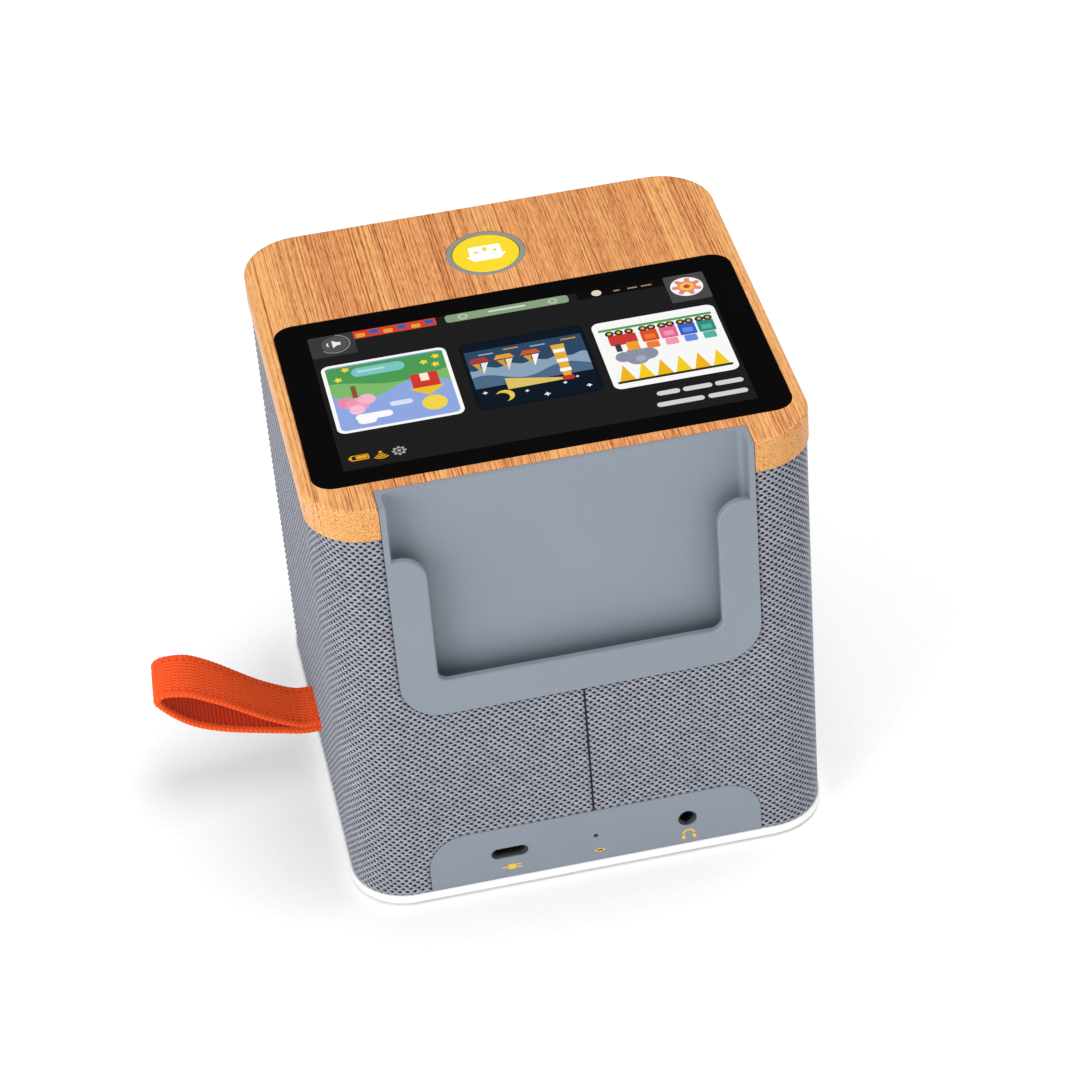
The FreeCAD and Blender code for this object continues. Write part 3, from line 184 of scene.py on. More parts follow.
def spread(tree, value, low, high, to_low=0.0, to_high=1.0):
    """value, from low to high, as a number from to_low to to_high, and no further."""
    return add(tree, "MapRange", {0: value, 1: low, 2: high, 3: to_low, 4: to_high})


def roughen(tree, shader, height, depth_mm):
    """Makes the surface rise by depth_mm where height goes from 0 to 1."""
    bump = add(tree, "Bump", {"Height": height, "Distance": depth_mm * MM, "Strength": 1.0})
    tree.links.new(bump, shader.inputs["Normal"])


finishes = {}
print("helpers are ready")

# %% [markdown]
# ## Bamboo lid
# The lid is a board of bamboo strips on edge, about 9 mm wide, glued side by side, milled and
# oiled. Each strip has its own tone. Fibre bundles run its whole length: thin brown lines on
# the face, dots where they are cut across at the ends. The pattern is a solid one, which does
# both: noise that is very long along the fibres and fine across them. Single bundles are too
# fine to show, so the darkest are drawn as lines 1 mm and 3.5 mm apart.

# %% Strips and fibres of the bamboo
bamboo, tree, shader = start_material("oiled_bamboo", Roughness=0.46, IOR=1.5,
                                      Specular_IOR_Level=0.4)
strip_tone, band_tone = (
    add(tree, "SeparateColor", {0: pattern(
        tree, "Voronoi", (width, length, length), {"Randomness": randomness}, out="Color")})
    for width, length, randomness in ((9, 2000, 0.9), (0.8, 1500, 1.0)))
place_x = add(tree, "SeparateXYZ", {0: in_millimetres(tree)})
last_strip = spread(tree, place_x, 50.2, 50.5, 0, 0.5)
strip_tone = weighted(tree, strip_tone, (last_strip, 1.0))
bundles, pores, sway = (
    pattern(tree, "Noise", stretch, {"Detail": detail}) for stretch, detail in (
        ((0.3, 260, 0.3), 0.0), ((0.28, 3.0, 0.28), 1.0), ((2, 60, 2), 0.0)))
line_unit, fine_scale, strong_scale = 1.45, 1.45, 0.42
place_across = add(tree, "SeparateXYZ", {0: in_millimetres(tree, (line_unit, 1, 1))})
place_across = weighted(tree, place_across, (sway, 0.8))
fine_lines, strong_lines = (
    add(tree, "TexVoronoi", {"W": place_across, "Scale": scale, "Randomness": 0.9},
        out="Distance", voronoi_dimensions="1D", feature="DISTANCE_TO_EDGE")
    for scale in (fine_scale, strong_scale))
print("strong lines of the bamboo in mm:", round(line_unit / strong_scale, 1), "apart")

# %% Colours of the bamboo
tone = weighted(tree, -0.1, (strip_tone, 0.2), (band_tone, 0.1), (pores, 1.35))
face_tone = weighted(tree, tone, (spread(tree, bundles, 0.35, 0.5), 0.5),
                     (spread(tree, fine_lines, 0.07, 0.2), 0.3),
                     (spread(tree, strong_lines, 0.02, 0.06), 0.35))
face_tone = spread(tree, face_tone, 0.86, 2.04)
face_colour = between(tree, strip_tone, between(tree, face_tone, "#944305", "#E8A265"),
                      between(tree, face_tone, "#964B05", "#E7AA68"))
end_dots = spread(tree, pores, 0.5, 0.38)
end_colour = between(tree, 1.0, between(tree, tone, "#CC8A45", "#DCA45E"),
                     between(tree, end_dots, "#FFFFFF", "#DCC2A6"), "MULTIPLY")
facing = add(tree, "NewGeometry", out="True Normal")
along_fibres = add(tree, "Math", {0: add(tree, "SeparateXYZ", {0: facing}, out=1)},
                   operation="ABSOLUTE")
lid_colour = between(tree, spread(tree, along_fibres, 0.5, 0.8), face_colour, end_colour)
tree.links.new(lid_colour, shader.inputs["Base Color"])
tree.links.new(spread(tree, bundles, 0.3, 0.7, 0.54, 0.42), shader.inputs["Roughness"])
roughen(tree, shader, bundles, 0.03)
finishes["bamboo"] = bamboo
print("bamboo: end grain where a face looks along the fibres")

# %% [markdown]
# ## Moulded plastics
# Nearly every grey, white or coloured part is ABS from a steel mould. Spark-eroded walls of
# the mould leave a fine even grain, polished ones leave gloss. One recipe serves them all: a
# little cloudiness in the colour, a grain in the height, and a roughness that follows it.


# %% Plastics
def moulded(slot, name, colours, roughness, grain_mm, depth_mm, **sockets):
    """Fills a slot with a moulded plastic. colours are its darker and lighter tone; the grain
    is noise of grain_mm, raised by depth_mm, and the tone drifts over 30 mm."""
    material, tree, shader = start_material(name, **sockets)
    drift, grain = (pattern(tree, "Noise", (size,) * 3) for size in (30, grain_mm))
    tree.links.new(between(tree, drift, *colours), shader.inputs["Base Color"])
    tree.links.new(spread(tree, grain, 0.3, 0.7, roughness + 0.06, roughness - 0.06),
                   shader.inputs["Roughness"])
    roughen(tree, shader, grain, depth_mm)
    finishes[slot] = material


moulded("tray_plastic", "spark_eroded_grey_abs", ("#7C848F", "#838B96"), 0.55, 0.5, 0.006)
moulded("white_base", "polished_white_abs", ("#F1F2F2", "#F8F8F8"), 0.3, 1.2, 0.002)
moulded("shell_plastic", "moulded_dark_abs", ("#2B2C30", "#313338"), 0.6, 0.6, 0.01)
moulded("yellow_button", "satin_yellow_abs", ("#E5C818", "#EACE20"), 0.32, 0.9, 0.002)
moulded("grey_ring", "satin_grey_abs", ("#84847F", "#8C8C87"), 0.45, 0.6, 0.005)
moulded("connector_cream", "moulded_cream_nylon", ("#CFC9B6", "#D8D3C1"), 0.5, 0.7, 0.004)
moulded("plunger_white", "moulded_white_acetal", ("#D8D8D5", "#E2E2DF"), 0.4, 0.7, 0.003)
moulded("chip_black", "moulded_epoxy", ("#17171A", "#202023"), 0.6, 0.3, 0.008)
moulded("wire_black", "extruded_pvc", ("#141415", "#1C1C1D"), 0.45, 1.5, 0.004)
moulded("tape", "black_foam_tape", ("#101011", "#1A1A1B"), 0.85, 0.4, 0.03)
moulded("gasket_foam", "open_cell_foam", ("#161617", "#262627"), 0.95, 0.7, 0.12)
moulded("grip_rubber", "moulded_grip_rubber", ("#1F2022", "#2A2B2D"), 0.8, 0.8, 0.04)
moulded("surround_rubber", "moulded_butyl_rubber", ("#101011", "#191919"), 0.55, 1.0, 0.006)
moulded("cone_paper", "pressed_paper_pulp", ("#1E1E20", "#38383B"), 0.9, 0.8, 0.06)
moulded("flex_amber", "polyimide_film", ("#8A4A12", "#A35B18"), 0.3, 2.5, 0.004)
moulded("cell_wrap", "shrunk_pvc_film", ("#1A4B86", "#22599A"), 0.25, 4.0, 0.01)
print("plastics, rubbers and films:", len(finishes) - 1)

# %% [markdown]
# ## Metals
# Screws are zinc plated, cans and clips are pressed sheet, the magnet's plates are turned.
# Their colour, their roughness and the marks of the tool tell them apart. The marks are noise
# drawn out along one axis.


# %% Metals
def worked_metal(slot, name, colours, roughness, stretch, depth_mm, metallic=1.0):
    """Fills a slot with a metal. stretch gives the marks' size in mm along x, y and z."""
    material, tree, shader = start_material(name, Metallic=metallic)
    marks = pattern(tree, "Noise", stretch, {"Detail": 4.0})
    tree.links.new(between(tree, marks, *colours), shader.inputs["Base Color"])
    tree.links.new(spread(tree, marks, 0.3, 0.7, roughness - 0.1, roughness + 0.1),
                   shader.inputs["Roughness"])
    roughen(tree, shader, marks, depth_mm)
    finishes[slot] = material


metals = (
    ("zinc_steel", "zinc_plated_steel", ("#A9ABAD", "#C6C8CA"), 0.35, (0.4, 0.4, 0.4), 0.004),
    ("display_metal", "pressed_steel_sheet", ("#8F9195", "#A9ABAF"), 0.4, (8, 0.3, 0.3), 0.003),
    ("socket_metal", "nickel_plated_brass", ("#B4B0A6", "#CBC8BF"), 0.28, (0.3, 6, 0.3), 0.003),
    ("plated_iron", "turned_plated_iron", ("#9A9A94", "#B5B5AF"), 0.4, (0.5, 3, 0.5), 0.006),
    ("basket_steel", "black_painted_steel", ("#121214", "#1D1D1F"), 0.4, (0.8,) * 3, 0.01, 0.0),
    ("magnet_ferrite", "sintered_ferrite", ("#252527", "#38383A"), 0.55, (0.5,) * 3, 0.03, 0.0),
    ("coil_copper", "enamelled_copper_wire", ("#9A4F22", "#C97A45"), 0.3, (40, 0.25, 40), 0.03))
for metal in metals:
    worked_metal(*metal)
print("metals:", len(metals))

# %% [markdown]
# ## Circuit boards
# A board is glass fibre under green solder mask, with copper tracks that show as lighter lines.
# They run along two directions with steps between, as a brick pattern does, and the mask is
# raised over them.

# %% Boards
board, tree, shader = start_material("green_solder_mask", Roughness=0.32, IOR=1.5)
track_width, track_pitch = 0.14, 1.3
tracks = pattern(tree, "Brick", (1, 1, 1), {
    "Mortar Size": track_width, "Mortar Smooth": 0.2, "Brick Width": 4.6,
    "Row Height": track_pitch}, out="Fac", offset=0.37)
speckle = pattern(tree, "Noise", (0.5, 0.5, 0.5))
mask = between(tree, tracks, between(tree, speckle, "#0B4A2A", "#0F5A34"), "#1F7A48")
tree.links.new(mask, shader.inputs["Base Color"])
roughen(tree, shader, tracks, 0.03)
finishes["board_green"] = board
print("board: tracks", track_width, "mm wide,", track_pitch, "mm apart")

# %% [markdown]
# ## Display glass
# The glass is clear and its back is printed black, so it is a black mirror: deep black with a
# low roughness. Noise in the roughness stands for the marks of fingers.

# %% Glass
glass, tree, shader = start_material("black_printed_glass", IOR=1.5, Specular_IOR_Level=0.35)
smears = pattern(tree, "Noise", (14, 22, 14), {"Detail": 4.0})
tree.links.new(spread(tree, smears, 0.35, 0.75, 0.06, 0.16), shader.inputs["Roughness"])
tree.links.new(between(tree, smears, "#090808", "#0C0B0B"), shader.inputs["Base Color"])
finishes["black_glass"] = glass
print("glass: black, roughness 0.06 to 0.16")

# %% [markdown]
# ## Woven sleeve
# The body wears a sleeve of coarse speaker cloth, cut out for the pocket, the ports and the
# webbing, and butted down the middle of the back. Its holes stand in staggered rows, 1.88 mm
# apart. They show the dark shell behind them and are painted darker still, as painted shade
# inside the holes. The sleeve is a grid wrapped round the box's outline. Every second vertex
# sits at a hole and is pressed in, so the weave is in the shape too. Vertices at an opening are
# slid onto its outline, so that its edge is clean.


# %% Outline of the body
def around_body(distance, half, corner):
    """x, y and the outward normal at these distances round a rounded square. It runs clockwise
    from the middle of the back: a straight run of 2 (half - corner), then a quarter circle,
    and each quarter turn brings the next side."""
    straight = 2 * (half - corner)
    side = straight + corner * np.pi / 2
    turns = np.floor((distance + straight / 2) / side)
    along = distance + straight / 2 - turns * side
    angle = np.clip(along - straight, 0, None) / corner
    x = np.minimum(along, straight) - straight / 2 + corner * np.sin(angle)
    y = half - corner + corner * np.cos(angle)
    c, s = np.cos(turns * np.pi / 2), np.sin(turns * np.pi / 2)
    out = np.sin(angle), np.cos(angle)
    return x * c + y * s, y * c - x * s, out[0] * c + out[1] * s, out[1] * c - out[0] * s


sleeve_half, sleeve_corner = 57.6, 13.6
sleeve_low, sleeve_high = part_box("fabric_sleeve")
sleeve_bottom, sleeve_top = sleeve_low.z / MM + 0.05, sleeve_high.z / MM - 0.05
side_length = 2 * (sleeve_half - sleeve_corner) + sleeve_corner * np.pi / 2
girth = 4 * side_length
print("girth of the sleeve in mm:", round(girth, 1))


# %% Openings in the sleeve
def rounded_opening(x, z, middle, half, corner):
    """Distance from the edge of a rectangle with round corners, negative inside it: beyond the
    corner's centre it is a circle's, elsewhere that of the nearer side."""
    qx = np.abs(x - middle[0]) - half[0] + corner
    qz = np.abs(z - middle[1]) - half[1] + corner
    beyond = np.hypot(np.maximum(qx, 0), np.maximum(qz, 0))
    return beyond + np.minimum(np.maximum(qx, qz), 0) - corner


# Each opening's middle, half its width and height, and the radius of its corners, in mm.
tray_opening = (0, 156.85), (42.45, 100), 10.05
panel_opening = (0, -1.15), (40.45, 19.9), 9.05
loop_opening = (side_length + 4, 14.2), (7.7, 1.7), 0.5


def cloth_left(distance, z):
    """Distance in mm to the nearest opening: the card tray, the port panel or the webbing."""
    x = np.where(distance > girth / 2, distance - girth, distance)
    return np.minimum.reduce([rounded_opening(x, z, *opening)
                              for opening in (tray_opening, panel_opening, loop_opening)])


print("openings in the sleeve: tray, ports and webbing")


# %% Mesh from a grid
def mesh_object(name, points, faces, smooth=True):
    """A mesh object, at the origin, from points in mm and faces given as rows of indices."""
    mesh = bpy.data.meshes.new(name)
    mesh.from_pydata((np.asarray(points) * MM).tolist(), [], [list(f) for f in faces])
    mesh.polygons.foreach_set("use_smooth", np.full(len(mesh.polygons), smooth))
    mesh.update()
    made = bpy.data.objects.new(name, mesh)
    scene.collection.objects.link(made)
    return made


def point_values(piece, name, kind, field, values):
    """Stores one value for each vertex under this name, for the material to read."""
    attribute = piece.data.attributes.new(name, kind, "POINT")
    attribute.data.foreach_set(field, np.asarray(values, np.float32).ravel())


def grid_faces(rows, columns, first=0):
    """Corner indices of the cells of a grid whose points run along its columns first."""
    corner = first + np.arange(rows - 1)[:, None] * columns + np.arange(columns - 1)
    return np.stack([corner, corner + 1, corner + columns + 1, corner + columns], -1)


print("mesh helpers are ready")

# %% Cells of the sleeve
seam_half, hole_depth, cloth_thickness = 0.3, 0.3, 0.6
columns, rows = 464, 120
step = (girth - 2 * seam_half) / columns
rise = (sleeve_top - sleeve_bottom) / rows
s, z = np.meshgrid(seam_half + step * np.arange(columns + 1),
                   sleeve_bottom + rise * np.arange(rows + 1))
cells = grid_faces(rows + 1, columns + 1)
kept = cloth_left(s[:-1, :-1] + step / 2, z[:-1, :-1] + rise / 2) > 0
in_cloth, in_opening = np.zeros((2, s.size), bool)
in_cloth[cells[kept]], in_opening[cells[~kept]] = True, True
rim = (in_cloth & in_opening).reshape(s.shape)
print("cells of cloth:", int(kept.sum()), "pitch of the holes in mm:", round(2 * step, 3))

# %% Wrap the sleeve
reach, nudge = cloth_left(s, z), 0.01
slope_s = (cloth_left(s + nudge, z) - cloth_left(s - nudge, z)) / (2 * nudge)
slope_z = (cloth_left(s, z + nudge) - cloth_left(s, z - nudge)) / (2 * nudge)
i, j = np.meshgrid(np.arange(columns + 1), np.arange(rows + 1))
edge = rim | (i == 0) | (i == columns) | (j == 0) | (j == rows)
press = np.where(((i + j) % 2 == 0) & ~edge, hole_depth, 0.0)
s = np.where(rim, s - reach * slope_s, s)
z = np.clip(np.where(rim, z - reach * slope_z, z), sleeve_bottom, sleeve_top)
x, y, out_x, out_y = around_body(s, sleeve_half, sleeve_corner)
points = np.stack([x - out_x * press, y - out_y * press, z], -1).reshape(-1, 3)
weave = np.stack([(s - seam_half) / (2 * step), (z - sleeve_bottom) / (2 * rise),
                  np.zeros_like(s)], -1)
used = np.unique(cells[kept])
renumber = np.zeros(s.size, int)
renumber[used] = np.arange(used.size)
woven_sleeve = mesh_object("woven_sleeve", points[used], renumber[cells[kept]][:, ::-1])
point_values(woven_sleeve, "weave", "FLOAT_VECTOR", "vector", weave.reshape(-1, 3)[used])
wall = woven_sleeve.modifiers.new("cloth_thickness", "SOLIDIFY")
wall.thickness, wall.offset = cloth_thickness * MM, -1.0
print("sleeve:", used.size, "points, holes pressed in by", hole_depth, "mm")

# %% [markdown]
# ### Speaker cloth
# The cloth is woven from thick grey-blue polyester. Between four threads a small slanted hole
# stays open. The weave value of each vertex counts holes along and up, so the two sums
# along + up and along - up are whole numbers at a hole. Their fractions say how far a point is
# from the nearest hole, and a slanted ellipse drawn with them is the hole itself.

# %% Holes of the weave
cloth, tree, shader = start_material(
    "woven_polyester_speaker_cloth", Roughness=0.88, Sheen_Weight=0.7, Sheen_Roughness=0.3,
    Sheen_Tint=linear("#A9ADBE"))
count = add(tree, "SeparateXYZ", {
    0: add(tree, "Attribute", out="Vector", attribute_name="weave")}).node.outputs
total, change = (add(tree, "Math", {0: count[0], 1: count[1]}, operation=way)
                 for way in ("ADD", "SUBTRACT"))
part = add(tree, "CombineXYZ", {0: total, 1: change})
part = add(tree, "VectorMath", {0: part, 1: (0.5, 0.5, 0)}, operation="ADD")
part = add(tree, "VectorMath", {0: part}, operation="FRACTION")
part = add(tree, "VectorMath", {0: part, 1: (0.5, 0.5, 0)}, operation="SUBTRACT")
slant, half_long, half_short = np.radians(8), 0.5, 0.35
to_mm = np.array([[step, step], [rise, -rise]])
turn = np.array([[np.cos(slant), np.sin(slant)], [-np.sin(slant), np.cos(slant)]])
reach_long, reach_short = (
    add(tree, "VectorMath", {0: part, 1: (*way, 0)}, out="Value", operation="DOT_PRODUCT")
    for way in turn @ to_mm / [[half_long], [half_short]])
oval = add(tree, "CombineXYZ", {0: reach_long, 1: reach_short})
oval = add(tree, "VectorMath", {0: oval}, out="Value", operation="LENGTH")
print("holes in mm:", 2 * half_long, "long,", 2 * half_short, "wide")

# %% Yarn of the cloth
yarn, cloud = (pattern(tree, "Noise", stretch) for stretch in ((0.3, 0.3, 0.22), (3, 3, 3)))
thread = spread(tree, weighted(tree, oval, (yarn, 0.9)), 1.28, 1.68)
tone = weighted(tree, 0.0, (yarn, 0.8), (cloud, 0.2))
yarn_colour = between(tree, spread(tree, tone, 0.32, 0.68), "#6E707E", "#B4B8C0")
# Hole colour: the dark shell behind, painted darker still as painted shade inside the holes.
yarn_and_shaded_holes = between(tree, thread, "#0F111B", yarn_colour)
tree.links.new(yarn_and_shaded_holes, shader.inputs["Base Color"])
roughen(tree, shader, weighted(tree, yarn, (spread(tree, oval, 0.6, 1.7), 1.0)), 0.16)
finishes["sleeve_cloth"] = cloth
woven_sleeve.data.materials.append(cloth)
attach(woven_sleeve, "housing")
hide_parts("fabric_sleeve")

# %% [markdown]
# ## Webbing loop
# The loop is 15 mm polyester webbing, folded back on itself, with both ends clamped inside. Its
# edges are thicker, because the weft turns round a bundle of threads there. A band with such a
# cross-section is carried along a smooth path. The ribs and the twisted edges are raised in
# the mesh, since they are large enough to see.


# %% Path of the webbing
def smooth_path(points, count):
    """Evenly spaced points on a natural cubic spline through the given ones. Its second
    derivatives solve one linear system, whose rows say that the slope is continuous."""
    points = np.asarray(points, float)
    at = np.concatenate([[0], np.cumsum(np.hypot(*np.diff(points, axis=0).T))])
    gap = np.diff(at)
    n = len(points)
    system = np.eye(n)
    inner = np.arange(1, n - 1)
    system[inner, inner - 1], system[inner, inner + 1] = gap[:-1] / 6, gap[1:] / 6
    system[inner, inner] = (gap[:-1] + gap[1:]) / 3
    slope = np.diff(points, axis=0) / gap[:, None]
    bend = np.linalg.solve(system, np.vstack([[0, 0], np.diff(slope, axis=0), [0, 0]]))

    def spline(t):
        k = np.clip(np.searchsorted(at, t) - 1, 0, n - 2)
        a, b, h = (at[k + 1] - t)[:, None], (t - at[k])[:, None], gap[k][:, None]
        curved = (a ** 3 * bend[k] + b ** 3 * bend[k + 1]) / (6 * h)
        straight = ((points[k] / h - bend[k] * h / 6) * a
                    + (points[k + 1] / h - bend[k + 1] * h / 6) * b)
        return curved + straight

    fine = spline(np.linspace(0, at[-1], 4000))
    length = np.concatenate([[0], np.cumsum(np.hypot(*np.diff(fine, axis=0).T))])
    even = np.linspace(0, length[-1], count)
    return np.stack([np.interp(even, length, fine[:, k]) for k in (0, 1)], -1), even


loop_corners = np.array([
    (-10.8, -0.85), (-6, -0.85), (0, -0.85), (3, -0.85), (8, 0.2), (14, 1.8), (20, 3.5), (25, 5.3),
    (30, 7.9), (34.4, 11.7), (37.5, 15.5), (38.1, 17), (37.2, 18), (34.4, 18.2), (30.5, 17.3),
    (26.5, 15.2), (22, 12.4), (17.2, 9), (12.4, 5.6), (8, 3), (3, 0.95), (0, 0.85), (-6, 0.85),
    (-10.8, 0.85)])
loop_root = np.array([58.0, 14.2])
loop_line, loop_at = smooth_path(loop_corners + loop_root, 480)
print("length of the webbing in mm:", round(loop_at[-1], 1))

# %% Cross-section of the webbing
web_width, web_middle_y = 15.0, -4.0
half_flat, half_edge, edge_round, cord_from = 0.6, 0.74, 0.9, 5.9
flat_half = web_width / 2 - edge_round
across = np.concatenate([np.linspace(-1, 1, 61) * flat_half,
                         flat_half + edge_round * np.sin(np.linspace(0.25, 0.5, 5) * np.pi)])
across = np.unique(np.concatenate([across, -across]))
into_edge = np.clip((np.abs(across) - (web_width / 2 - half_edge)) / half_edge, 0, 1)
swell = np.clip((np.abs(across) - cord_from) / 0.8, 0, 1)
thick = (half_flat + (half_edge - half_flat) * swell ** 2) * np.sqrt(1 - into_edge ** 2)
thick_share = np.concatenate([thick, thick[::-1][1:-1]])[None, :] / half_flat
profile = np.concatenate([np.stack([across, thick, np.ones_like(across)], -1),
                          np.stack([across, -thick, -np.ones_like(across)], -1)[::-1][1:-1]])
print("webbing:", len(profile), "points round its cross-section")

# %% Relief of the weave
# In mm: zigzag lines on the outer face (outer = 1), ribs on the inner one (outer = 0), a row
# of stitches beside each edge cord, and the twist of the cords.
u, v = np.meshgrid(loop_at, profile[:, 0], indexing="ij")
outer = (1 - profile[None, :, 2]) / 2
zigzag = np.abs((u / 2.0) % 1 - 0.5)
lines = np.cos(2 * np.pi * (v / 1.1 + 0.8 * zigzag)) * (0.02 + 0.08 * outer)
ribs = np.cos(2 * np.pi * u / 1.05) * (0.07 - 0.05 * outer)
stitches = np.exp(-((np.abs(v) - 5.6) / 0.4) ** 2) * np.clip(np.cos(2 * np.pi * u / 1.7), 0, 1)
twist = np.cos(2 * np.pi * (u / 1.15 + v / 1.6)) * 0.08
cord_part = np.clip((np.abs(v) - cord_from) / 0.4, 0, 1)
relief = (lines + ribs) * (1 - cord_part) + twist * cord_part - stitches * 0.18
print("relief in mm, from", round(relief.min(), 2), "to", round(relief.max(), 2))

# %% Band along the path
# The band is thicker inside the fold, rises on one side past it, and leans a little.
tangent = np.gradient(loop_line, axis=0)
tangent /= np.hypot(*tangent.T)[:, None]
normal = np.stack([-tangent[:, 1], tangent[:, 0]], -1)
past_tip = u - loop_at[np.argmax(loop_line[:, 0])]
from_root = loop_line[:, None, 0] - loop_root[0]
fold = 0.5 * np.exp(-(past_tip / 1.8) ** 2) * (1 - outer) * (thick_share > 0.5)
lift = profile[None, :, 1] + profile[None, :, 2] * relief + fold
wide = v * (1 + 0.005 * np.cos(2 * np.pi * u / 1.15) * cord_part)
past_fold = np.clip(past_tip / 6, 0, 1)
raised = 0.06 * (web_width / 2 - v) * np.exp(-((from_root - 27) / 7.5) ** 2)
raised = raised * past_fold ** 2 * (3 - 2 * past_fold)
lean = 0.073 * v * np.clip(from_root / 38, 0, 1)
points = np.stack([loop_line[:, None, 0] + normal[:, None, 0] * lift + lean, web_middle_y + wide,
                   loop_line[:, None, 1] + normal[:, None, 1] * lift + raised], -1)
sections, ring = points.shape[:2]
faces = grid_faces(sections, ring).reshape(-1, 4)
last = np.arange(sections - 1) * ring
close = np.stack([last + ring - 1, last, last + ring, last + 2 * ring - 1], -1)
caps = [list(range(ring)), list(range((sections - 1) * ring, sections * ring))[::-1]]
webbing_loop = mesh_object("webbing_loop", points.reshape(-1, 3),
                           [*faces[:, ::-1], *close[:, ::-1], *caps])
# The first value marks the inner face, which the material paints darker as painted shade.
inner_shade_and_relief = np.broadcast_arrays((1 - outer) * (1 - cord_part), 0, relief)
point_values(webbing_loop, "web", "FLOAT_VECTOR", "vector", np.stack(inner_shade_and_relief, -1))
print("webbing:", sections, "sections of", ring, "points")

# %% [markdown]
# ### Polyester webbing
# The yarn is dyed orange-red. Each vertex holds which face it is on and the height of the weave.
# The height drives the colour: the crests of the ribs are painted lighter and the hollows between
# them a deeper red, which is painted light and shade. The inner face is painted a deeper red too,
# as painted shade inside the loop, and noise breaks up the yarn.

# %% Webbing material
webbing, tree, shader = start_material("woven_orange_webbing", Roughness=0.75,
                                       Specular_IOR_Level=0.25)
web = add(tree, "SeparateXYZ", {
    0: add(tree, "Attribute", out="Vector", attribute_name="web")}).node.outputs
# Lighter crests and deeper red hollows are painted light and shade that follow the weave's height.
crest = spread(tree, web[2], -0.09, 0.09)
strands = pattern(tree, "Noise", (0.35, 0.35, 0.35))
yarn_noise_and_height_shade = weighted(tree, -0.12, (strands, 0.5), (crest, 0.8))
# The inner face gets the darker pair of colours: painted shade inside the loop.
loop_colour_with_painted_shade = between(tree, web[0], between(tree, yarn_noise_and_height_shade, "#E8360A", "#FF6622"),
                     between(tree, yarn_noise_and_height_shade, "#BA1A05", "#EC4410"))
tree.links.new(loop_colour_with_painted_shade, shader.inputs["Base Color"])
roughen(tree, shader, strands, 0.12)
finishes["orange_webbing"] = webbing
webbing_loop.data.materials.append(webbing)
# Other surfaces get no soft light from the loop, so its shade on the table is grey, not orange.
webbing_loop.visible_diffuse = False
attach(webbing_loop, "housing")
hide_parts("strap_loop")
print("webbing is", web_width, "mm wide and", round(loop_at[-1]), "mm long")

# %% [markdown]
# ## Flat shapes
# Icons, prints and the display's picture are flat shapes with a colour each. A shape is an
# outline of points, in mm to the right and up, and a layer. Each becomes a very low plate, a
# little higher for each layer, so that a later shape covers an earlier one cleanly.


# %% Outlines
def disc(x, y, radius, count=40, start=0.0, sweep=1.0):
    """Points of a circle, or of a part of one, counter-clockwise."""
    angle = 2 * np.pi * (start + sweep * np.arange(count) / (count if sweep == 1 else count - 1))
    return np.stack([x + radius * np.cos(angle), y + radius * np.sin(angle)], -1)


def rounded(x, y, width, height, corner, count=7):
    """Points of a rectangle with round corners, round its middle: four quarter circles."""
    angle = np.pi / 2 * (np.arange(4)[:, None] + np.linspace(0, 1, count)).ravel()
    sx, sy = np.repeat([1, -1, -1, 1], count), np.repeat([1, 1, -1, -1], count)
    return np.stack([x + sx * (width / 2 - corner) + corner * np.cos(angle),
                     y + sy * (height / 2 - corner) + corner * np.sin(angle)], -1)


def arc_band(x, y, radius, width, start, sweep, count=24):
    """A bent bar: an arc outwards at radius + width / 2, and back at radius - width / 2."""
    outer = disc(x, y, radius + width / 2, count, start, sweep)
    return np.vstack([outer, disc(x, y, radius - width / 2, count, start, sweep)[::-1]])


def flower(x, y, radius, petals, depth, count=96):
    """A circle whose radius swings by depth as often as it has petals."""
    angle = 2 * np.pi * np.arange(count) / count
    r = radius * (1 + depth * np.tanh(3 * np.cos(petals * angle)))
    return np.stack([x + r * np.cos(angle), y + r * np.sin(angle)], -1)


def wave(bottom, middle, height, length, turn=0, half=13.8, count=30):
    """The area from bottom up to the curve middle + height sin(x / length + turn)."""
    x = np.linspace(half, -half, count)
    curve = np.stack([x, middle + height * np.sin(x / length + turn)], -1)
    return np.vstack([[(-half, bottom), (half, bottom)], curve])


def moved(shapes, x, y):
    """The same shapes of (outline, layer, colour), further on by x and y."""
    return [(np.add(outline, (x, y)), layer, colour) for outline, layer, colour in shapes]


print("outlines are ready")


# %% Plates from outlines
def plates(name, shapes, origin, right, up, layer_mm):
    """Every shape as a closed low plate that stands on the plane through origin. shapes holds
    (outline, layer, colour). A plate's top is layer_mm higher for each layer."""
    axes = np.array([right, up], float)
    out = np.cross(*axes)
    points, faces, paint, base = [], [], [], 0
    for outline, layer, colour in shapes:
        n = len(outline)
        flat = origin + np.asarray(outline) @ axes
        points += [flat + out * 0.005, flat + out * layer_mm * (layer + 1)]
        k = np.arange(n)
        walls = np.stack([k, (k + 1) % n, (k + 1) % n + n, k + n], -1) + base
        faces += [(base + k[::-1]).tolist(), (base + n + k).tolist(), *walls.tolist()]
        paint.append(np.tile(linear(colour), (2 * n, 1)))
        base += 2 * n
    piece = mesh_object(name, np.vstack(points), faces, smooth=False)
    point_values(piece, "paint", "FLOAT_COLOR", "color", np.vstack(paint))
    return piece


print("plates are ready")

# %% [markdown]
# ## Picture on the display
# The screen shows three story cards in a row, the edges of three more, a heading, a few status
# icons, a loudness sign and a round sign for the listener. All of it is made up for this
# lesson. The player's user sits at the front, so the picture is upright from there.

